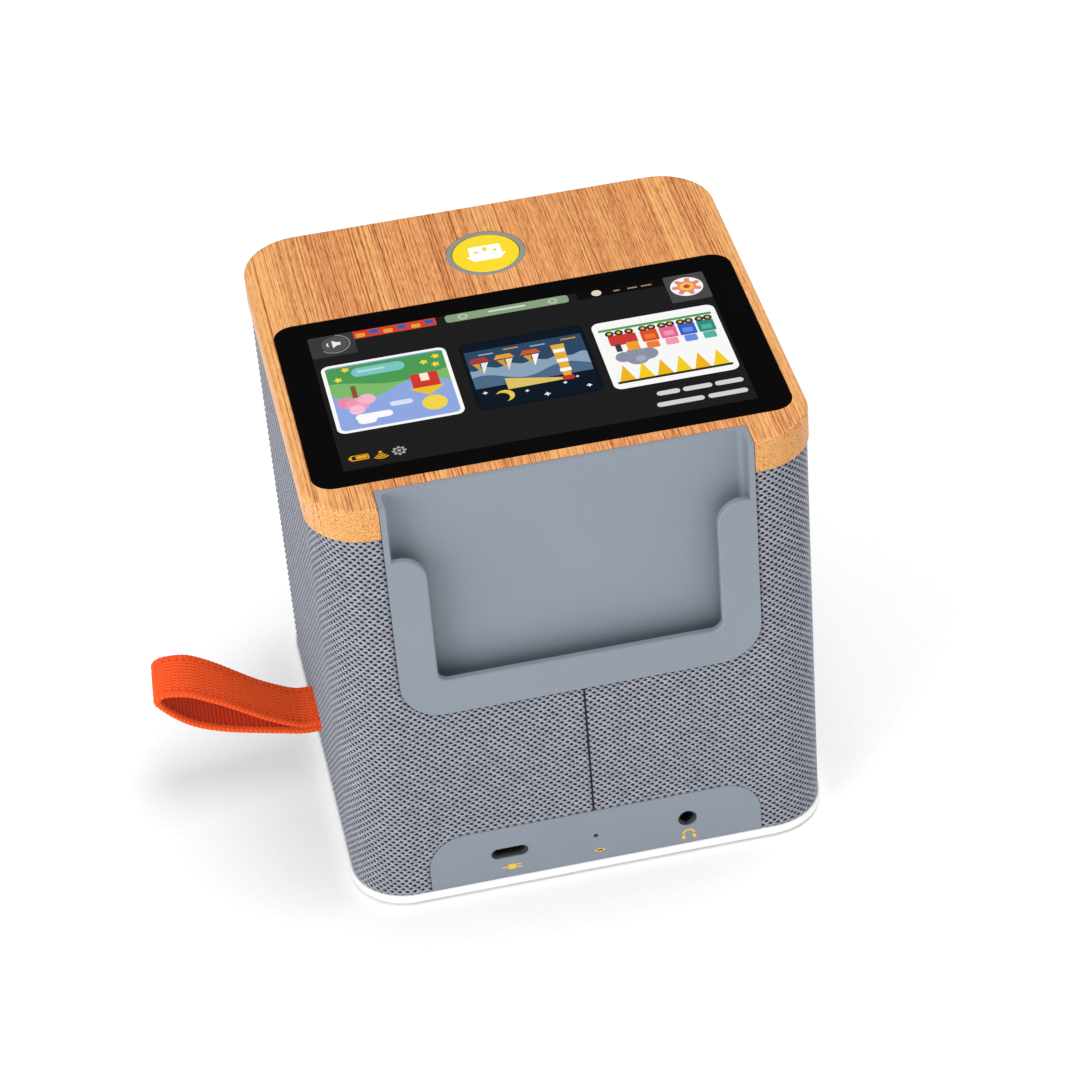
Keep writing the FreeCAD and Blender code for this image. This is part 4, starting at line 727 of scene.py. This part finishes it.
# %% Screen, heading and icons
dark, amber, grey, pale = "#1D1D1D", "#F2AE1C", "#A9A9A9", "#F2F2F2"
screen = [(rounded(0, 14.67, 95.04, 53.86, 0.3), 0, dark)]
screen += [(rounded(x, y, width, 1.7, 0.8), 1, "#D8D8D8") for x, y, width in (
    (-41.6, 37.6, 9.2), (-30.6, 37.6, 11.0), (-42.9, 33.3, 6.6), (-35.5, 33.3, 6.8),
    (-28.7, 33.3, 5.4))]
battery = [
    (rounded(43.2, 37.4, 4.2, 2.0, 0.3), 1, amber), (rounded(43.2, 37.4, 3.6, 1.4, 0.15), 2, dark),
    (rounded(42.8, 37.4, 2.5, 1.0, 0.1), 3, amber), (rounded(45.5, 37.4, 0.4, 0.9, 0.1), 1, amber)]
signal = [(disc(38.4, 36.7, 0.4, 16), 1, amber)]
signal += [(arc_band(38.4, 36.7, radius, 0.36, 0.13, 0.24), 1, amber) for radius in (0.9, 1.6, 2.3)]
gear = [(flower(34.2, 37.4, 1.45, 8, 0.16), 1, grey), (disc(34.2, 37.4, 0.9, 24), 2, dark),
        (disc(34.2, 37.4, 0.45, 16), 3, grey)]
loudness = [
    (rounded(42.1, -8.0, 10.7, 8.5, 0.4), 4, "#3A3A3C"), (disc(41.6, -8.4, 3.1), 5, "#555557"),
    (arc_band(41.6, -8.4, 3.6, 0.35, 0.1, 0.62), 5, "#8A8A8A"),
    (rounded(40.6, -8.4, 0.9, 1.2, 0.1), 6, pale),
    (((41.0, -9.0), (42.1, -9.9), (42.1, -6.9), (41.0, -7.8)), 6, pale),
    (arc_band(42.3, -8.4, 1.0, 0.35, -0.12, 0.24), 6, pale)]
listener = [
    (rounded(-42.7, -6.7, 9.7, 11.0, 0.4), 4, "#4A4A4C"), (disc(-42.6, -7.0, 3.9), 5, "#FFFFFF"),
    (flower(-42.6, -7.0, 2.9, 7, 0.22), 6, "#F08A7A"), (disc(-42.6, -7.0, 1.7), 7, "#F7C948"),
    (disc(-42.6, -7.0, 0.8), 8, "#C8404A")]
screen += battery + signal + gear + loudness + listener
print("heading and icons:", len(screen), "shapes")


# %% Card with hills, a tree and a barn
def card(border, ground):
    """A story card round (0, 0): a border with round corners, and the picture's ground."""
    return [(rounded(0, 0, 29.4, 27.4, 2.0), 1, border),
            (rounded(0, 0, 27.6, 25.6, 1.3), 2, ground)]


sky = [(disc(-8.6, 7.6, 2.9), 3, "#F9D84A"), (rounded(5.6, 8.6, 8.6, 2.4, 1.2), 3, "#FFFFFF"),
       (rounded(7.4, 10.0, 4.4, 2.6, 1.3), 3, "#FFFFFF"),
       (rounded(-1.2, 5.4, 5.4, 1.8, 0.9), 3, "#DDE6FA")]
hills = [(wave(-8.0, -0.6, 2.4, 4.1), 3, "#7FBF6E"), (wave(-12.3, -4.6, 1.7, 5.6, 2), 4, "#4E9E57")]
pond = [(rounded(1.8, -9.2, 12.5, 3.6, 1.8), 5, "#7CCBC9"),
        (rounded(3.4, -9.4, 6.5, 0.7, 0.3), 6, "#B9E6E2")]
barn = [(rounded(-8.0, -1.6, 6.4, 5.8, 0.2), 5, "#D8392F"),
        (((-12.1, 1.1), (-3.9, 1.1), (-8.0, 4.4)), 6, "#F2C230"),
        (rounded(-8.0, -2.9, 2.0, 3.0, 0.2), 6, "#FFF3D6")]
blossom = [(rounded(8.6, -0.9, 1.2, 6.4, 0.3), 5, "#8A5A34")]
blossom += [(disc(x, y, radius), 6, colour) for x, y, radius, colour in (
    (8.6, 3.4, 2.7, "#F3A3BE"), (6.2, 1.9, 2.0, "#F7BBD0"), (11.0, 2.0, 2.1, "#EE8FB0"),
    (9.0, 5.4, 1.8, "#F9C9DA"))]
meadow = [(flower(x, y, 0.75, 5, 0.3, 40), 5, "#FBE04C") for x, y in (
    (-11.4, -7.2), (-8.9, -8.8), (-11.9, -10.4), (11.4, -7.4), (9.2, -11.0))]
screen += moved(card("#FFFFFF", "#93ABE6") + sky + hills + pond + barn + blossom + meadow,
                31.7, 13.8)
print("shapes so far:", len(screen))

# %% Card with a harbour at night
night, gold, foam = "#0B1826", "#D9A032", "#9DB4C8"
sea = [(rounded(0, -2.6, 27.6, 15.0, 0.3), 3, "#4E6C8A"),
       (wave(-10.0, 1.6, 1.6, 3.1, 1), 4, "#8FA7BD"), (wave(-10.1, -2.6, 0.5, 0.9), 5, "#2E4A66")]
sky = [(disc(7.8, 9.2, 2.2), 3, "#F2CF4A"), (disc(8.7, 9.8, 1.9), 4, night)]
sky += [(flower(x, y, radius, 4, 0.4, 32), 3, "#FFFFFF") for x, y, radius in (
    (-11.5, 10.8, 0.45), (-6.4, 8.2, 0.35), (-1.6, 11.4, 0.5), (2.6, 8.8, 0.35),
    (12.0, 6.9, 0.4), (-9.6, 6.6, 0.3))]
lighthouse = [
    (((-9.2, -7.2), (-6.0, -7.2), (-6.7, 5.6), (-8.5, 5.6)), 6, "#E9B13A"),
    *((rounded(-7.6, level, 2.6, 1.3, 0.1), 7, "#FFFFFF") for level in (-4.6, -0.6, 3.2)),
    (rounded(-7.6, 6.4, 2.6, 1.6, 0.3), 7, "#C23A2C"),
    (((-6.2, 6.0), (6.6, 2.6), (6.6, 7.0), (-6.2, 6.8)), 6, "#E3C766")]
boats = []
for x, colour, sail in ((-1.0, "#D8552E", "#FFFFFF"), (5.2, "#E9A23A", "#F4DFC2"),
                        (11.0, "#B93A2C", "#E8EEF4")):
    boats += moved([
        (((-2.4, -5.4), (-1.6, -7.0), (1.6, -7.0), (2.4, -5.4)), 7, colour),
        (((-1.9, -4.9), (-0.2, -4.9), (-0.2, -0.4)), 7, sail),
        (((0.1, -4.9), (1.8, -4.9), (0.1, -1.4)), 7, gold)], x, 0)
ripples = [(rounded(x, y, 3.6, 0.45, 0.2), 6, colour) for x, y, colour in (
    (-3.2, -8.3, foam), (3.0, -8.9, gold), (9.0, -8.2, foam), (-10.6, -8.8, gold))]
screen += moved(card("#0A1420", night) + sea + sky + lighthouse + boats + ripples, -0.6, 14.5)
print("shapes so far:", len(screen))

# %% Card with a train and flags
flags = [(((x - 2.0, 11.2), (x, 4.6), (x + 2.0, 11.2)), 4, colour) for x, colour in zip(
    (-11.0, -6.6, -2.2, 2.2, 6.6, 11.0), ("#F8D21E", "#F5B91A") * 3)]
flags.append((rounded(0, 11.3, 27.0, 0.8, 0.3), 5, "#2B2B2B"))
smoke = [(disc(*puff), 3, "#8E93A8") for puff in (
    (4.2, 1.6, 2.3), (6.9, 2.6, 2.7), (9.9, 1.5, 2.0), (7.0, 0.6, 2.2))]
smoke.append((disc(6.3, 3.2, 1.2), 4, "#A9AEC0"))
train = []
for x, colour, load in ((-11.2, "#2F8F83", "#56B5A6"), (-6.7, "#3C63C8", "#6E8FE6"),
                        (-2.2, "#E86A92", "#F59DBA"), (2.3, "#E2502F", "#F2802F")):
    train += [(rounded(x, -5.4, 4.0, 4.6, 0.4), 3, colour),
              (rounded(x, -1.6, 3.0, 2.6, 0.4), 3, load),
              (rounded(x, -5.0, 2.4, 1.8, 0.3), 4, load)]
train += [(rounded(8.6, -5.6, 6.6, 4.2, 0.6), 3, "#D33B36"),
          (rounded(6.9, -2.4, 2.9, 3.4, 0.4), 4, "#F2A32F"),
          (rounded(10.3, -2.4, 1.4, 3.0, 0.2), 4, "#3A3A44")]
for x in (-12.2, -10.2, -7.7, -5.7, -3.2, -1.2, 1.3, 3.3, 6.6, 9.0, 11.2):
    train += [(disc(x, -8.5, 1.05, 24), 5, "#33343C"), (disc(x, -8.5, 0.45, 16), 6, "#F5C33B")]
grass = [(rounded(0, -10.2, 27.0, 0.9, 0.3), 3, "#4FA55B")]
screen += moved(card("#FFFFFF", "#FDFDFB") + flags + smoke + train + grass, -32.0, 15.4)
print("shapes so far:", len(screen))

# %% Edges of three more cards
strip_height, moss, glass_face = 3.1, "#8BA583", 118.0
edges = [(rounded(27.4, 0, 20.8, strip_height, 0.5), 1, "#D8452E")]
edges += [(rounded(18.6 + 3.3 * k, 0.7 * (k % 2) - 0.3, 2.2, 1.6, 0.3), 2,
           ("#3A5FB0", "#F0A33A")[k % 2]) for k in range(6)]
edges.append((rounded(0, 0, 29.6, strip_height, 0.9), 1, moss))
for x in (-11.0, 10.6):
    edges += [(flower(x, 0, 1.15, 10, 0.12), 2, "#B9C9B2"), (disc(x, 0, 0.6, 20), 3, moss)]
edges += [(rounded(0, -0.2, 9.0, 0.6, 0.3), 2, "#DCE5D6"),
          (rounded(-27.6, 0, 21.4, strip_height, 0.5), 1, "#0C0706")]
edges += [(rounded(x, 0.2, width, 0.5, 0.2), 2, "#A08D70")
          for x, width in ((-33.6, 2.6), (-30.2, 2.4), (-26.4, 1.6))]
edges.append((disc(-21.6, -0.1, 1.2, 30), 2, "#E7DCC0"))
screen += moved(edges, 0, -10.7)
display_picture = plates("display_picture", screen, (0, 0, glass_face), (1, 0, 0), (0, 1, 0), 0.02)
print("picture:", len(screen), "shapes")

# %% [markdown]
# ### Lit picture
# The display makes its own light, so the picture's colours are an emission, and the surface
# itself is as dark and as smooth as the glass in front of it. Each vertex holds its colour.
# A real panel has about ten dots to the millimetre, too fine to see, so faint squares three
# times coarser stand for them.

# %% Picture material
lit, tree, shader = start_material("lit_display", Roughness=0.1, IOR=1.5, Specular_IOR_Level=0.35)
shader.inputs["Base Color"].default_value = linear("#060606")
shader.inputs["Emission Strength"].default_value = 1.0
dots = pattern(tree, "Checker", (0.3, 0.3, 9), out="Fac")
paint = add(tree, "Attribute", out="Color", attribute_name="paint")
dimmed = between(tree, 1.0, paint, between(tree, dots, "#F4F4F4", "#FFFFFF"), "MULTIPLY")
tree.links.new(dimmed, shader.inputs["Emission Color"])
display_picture.data.materials.append(lit)
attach(display_picture, "housing")
print("picture: lit by itself, dots 0.3 mm wide")

# %% [markdown]
# ## Button and its ring
# The yellow button is a moulded disc with a catch rim and a stem that presses a switch. It
# stands flush in a grey ring, and the ring in a round hole in the bamboo. All are turned shapes:
# a profile of radius and height carried round an axis. The seen ends stand half a millimetre
# off the axis below, so each point of a profile has its own middle. A bamboo collar fits the
# lid to the ring. It shares the lid's solid pattern, so the grain runs on.


# %% Turned pieces
def lathe(name, middle, profile, is_ring, count=120):
    """A profile of (radius, z) carried round: every point makes a circle of count points round
    its own middle. A ring's profile closes on itself; otherwise both ends are flat discs."""
    profile, middle = np.asarray(profile, float), np.asarray(middle, float)
    angle = 2 * np.pi * np.arange(count) / count
    x = middle[:, :1] + profile[:, :1] * np.cos(angle)
    y = middle[:, 1:] + profile[:, :1] * np.sin(angle)
    points = np.stack([x, y, np.broadcast_to(profile[:, 1:], x.shape)], -1).reshape(-1, 3)
    k, rows = np.arange(count), len(profile)
    a = np.arange(rows if is_ring else rows - 1)[:, None] * count
    b = (a + count) % (rows * count)
    after = (k + 1) % count
    faces = np.stack([a + k, b + k, b + after, a + after], -1).reshape(-1, 4).tolist()
    if not is_ring:
        faces += [k.tolist(), ((rows - 1) * count + k)[::-1].tolist()]
    return mesh_object(name, points, faces, smooth=False)


def rounded_rim(radius, z, size, count=5):
    """Points of the quarter circle that rounds a rim at this radius and height."""
    angle = np.linspace(np.pi / 2, 0, count)
    return np.stack([radius - size + size * np.cos(angle),
                     z - size + size * np.sin(angle)], -1).tolist()


print("lathe is ready")

# %% Profiles of the button, ring and collar
axis_below, button_middle = (0.0, -35.4), (0.2, -35.9)
button_radius, inside_radius, stem_radius = 8.15, 7.0, 2.0
ring_radius, barrel_radius, flange_radius, hole_radius = 9.6, 10.5, 11.8, 10.65
catch_radius, catch_depth, catch_gap, play, proud = 9.6, 1.5, 0.3, 0.12, 0.003
flange_depth, cap_wall = 1.5, 2.0
lid_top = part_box("top_plate")[1].z / MM
lid_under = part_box("button_ring")[0].z / MM + flange_depth
shoulder, seat = lid_under + 4.0, lid_under + 4.2
cap_profile = [
    *rounded_rim(button_radius, lid_top, 0.3), (button_radius, shoulder - catch_gap),
    (catch_radius, shoulder - catch_gap), (catch_radius, shoulder - catch_gap - catch_depth),
    (inside_radius, shoulder - catch_gap - catch_depth),
    (inside_radius, lid_top - cap_wall), (stem_radius, lid_top - cap_wall),
    (stem_radius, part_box("switch_plunger")[1].z / MM)]
ring_profile = [
    *rounded_rim(ring_radius, lid_top, 0.2), (ring_radius, seat), (barrel_radius, seat),
    (barrel_radius, lid_under), (flange_radius, lid_under),
    (flange_radius, lid_under - flange_depth), (catch_radius + catch_gap, lid_under - flange_depth),
    (catch_radius + catch_gap, shoulder), (button_radius + play, shoulder),
    (button_radius + play, lid_top - 0.1), (button_radius + play + 0.1, lid_top)]
collar_profile = [(hole_radius + 0.04, lid_top + proud), (hole_radius - 0.05, seat + 0.03),
                  (ring_radius + 0.02, seat + 0.03), (ring_radius + 0.02, lid_top + proud)]
print("button:", 2 * button_radius, "mm across, ring:", 2 * ring_radius)

# %% Button, ring and collar
for name, node, profile, is_ring, body, finish in (
        ("button_disc", "button_cap", cap_profile, False, "button", "yellow_button"),
        ("button_bezel", "button_ring", ring_profile, True, "housing", "grey_ring"),
        ("lid_collar", None, collar_profile, True, "housing", "bamboo")):
    seen = [z > shoulder and stem_radius < radius < barrel_radius for radius, z in profile]
    piece = lathe(name, [button_middle if top else axis_below for top in seen], profile, is_ring)
    piece.data.materials.append(finishes[finish])
    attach(piece, body)
    if node:
        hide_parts(node)
    print(name, "has", len(piece.data.polygons), "faces")

# %% [markdown]
# ## Printed signs
# The button bears a white house, the usual sign for the start page. Such signs are pad
# printed: a film of ink a few hundredths of a millimetre thick, a little uneven.

# %% House on the button
white, button_yellow = "#FDFDFD", "#EACE20"
house = [(rounded(0, -0.9, 7.8, 4.6, 0.5), 0, white),
         (((-4.8, 0.8), (4.8, 0.8), (3.2, 3.1), (-3.2, 3.1)), 1, white)]
house += [(rounded(*opening), 2, button_yellow) for opening in (
    (0, -1.6, 1.1, 1.7, 0.3), (-2.3, -0.7, 1.0, 0.9, 0.2), (2.3, -0.7, 1.0, 0.9, 0.2))]
house_sign = plates("house_sign", house, (*button_middle, lid_top), (1, 0, 0), (0, 1, 0), 0.03)
print("house:", len(house), "shapes")

# %% [markdown]
# ## Dark tubes in the ports, painted shade
# Behind each port the socket stands in a dark mould. A short dark tube closes the way between
# the panel and the socket, so that no light falls past it into the body. It is also painted
# shade: it makes each port dark inside, as shade would.


# %% Dark tubes in the ports, painted shade
def shade_tube(name, outline, wall, front, back):
    """A short tube with this outline of points (x, z), from y front to y back: its inner loop
    is the outline pulled towards its middle by the wall."""
    middle = outline.mean(axis=0)
    arm = outline - middle
    inner = middle + arm - np.sign(arm) * np.minimum(np.abs(arm), wall)
    points = np.vstack([
        np.column_stack([loop[:, 0], np.full(len(loop), y), loop[:, 1]])
        for loop, y in ((outline, front), (outline, back), (inner, back), (inner, front))])
    n = len(outline)
    k = np.arange(n)
    faces = np.vstack([np.stack([k + a, (k + 1) % n + a, (k + 1) % n + b, k + b], -1)
                       for a, b in ((0, n), (n, 2 * n), (2 * n, 3 * n), (3 * n, 0))])
    return mesh_object(name, points, faces)


panel_face, shade_tube_wall, set_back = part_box("port_panel")[1].y / MM, 0.4, 0.4
slot_outline, jack_outline = rounded(21.0, 10.9, 8.96, 3.16, 1.55, 9), disc(-22.4, 10.9, 2.28, 40)
for name, node, outline in (("charging_shade_tube", "usb_socket", slot_outline),
                            ("headphone_shade_tube", "audio_jack", jack_outline)):
    piece = shade_tube(name, outline, shade_tube_wall, panel_face - set_back,
                   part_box(node)[1].y / MM + 0.03)
    # Dark plastic inside the port: painted shade.
    piece.data.materials.append(finishes["shell_plastic"])
    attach(piece, "housing")
    print(name, "has a wall of", shade_tube_wall, "mm")

# %% [markdown]
# ## Signs on the port panel
# Under the ports stand a plug, a dot and bar, and a pair of headphones, in yellow ink. They
# are upright from the back, so -x is to their right.

# %% Signs on the port panel
yellow = "#F5C33B"
plug = [(rounded(*bar), 0, yellow) for bar in (
    (-0.2, 0, 2.2, 1.5, 0.6), (1.4, 0.42, 1.5, 0.3, 0.1), (1.4, -0.42, 1.5, 0.3, 0.1),
    (-1.8, 0, 1.5, 0.34, 0.1))]
set_mark = [(rounded(0, 0, 2.6, 0.42, 0.2), 0, yellow), (disc(0, 0, 0.62, 24), 0, yellow)]
phones = [(arc_band(0, -0.2, 1.45, 0.42, -0.02, 0.54), 0, yellow),
          *((rounded(x, -0.75, 0.75, 1.5, 0.3), 0, yellow) for x in (-1.35, 1.35))]
signs = moved(plug, -20.6, 6.3) + moved(set_mark, 0.7, 6.2) + moved(phones, 22.5, 6.0)
panel_signs = plates("panel_signs", signs, (0, panel_face, 0), (-1, 0, 0), (0, 0, 1), 0.03)
print("signs stand on z", round(lid_top, 2), "and y", round(panel_face, 2))

# %% Ink
ink, tree, shader = start_material("pad_printed_ink", Roughness=0.42, IOR=1.5)
grain = pattern(tree, "Noise", (0.25, 0.25, 0.25))
paint = add(tree, "Attribute", out="Color", attribute_name="paint")
worn = between(tree, 1.0, paint, between(tree, grain, "#EFEFEF", "#FFFFFF"), "MULTIPLY")
tree.links.new(worn, shader.inputs["Base Color"])
roughen(tree, shader, grain, 0.01)
for sign, body, slot in ((house_sign, "button", "yellow_button"),
                         (panel_signs, "housing", "tray_plastic")):
    sign.data.materials.append(ink)
    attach(sign, body)
    print(sign.name, "rides on", body)

# %% [markdown]
# ## Dress the solids
# Every solid that stays gets the finish of its slot in the record, and keeps its mesh.

# %% Materials on the nodes
for row in frame["record"]["subparts"]:
    node = frame["nodes"][row["node"]]
    node.data.materials.clear()
    node.data.materials.append(finishes[row["material_slot"]])

# %% [markdown]
# ## Floor
# The box stands on a sheet of white paper. It is large enough to fill every view, and a faint
# tooth keeps it from looking like empty space.

# %% Floor
paper, tree, shader = start_material("matt_white_paper", Roughness=0.9)
tooth = pattern(tree, "Noise", (2, 2, 2))
tree.links.new(between(tree, tooth, "#F6F6F6", "#FCFCFC"), shader.inputs["Base Color"])
half, level = 4000, -0.05
corners = [(x * half, y * half, level) for x, y in ((-1, -1), (1, -1), (1, 1), (-1, 1))]
floor = mesh_object("paper_floor", corners, [(0, 1, 2, 3)])
floor.data.materials.append(paper)
print("floor:", 2 * half / 1000, "m wide")
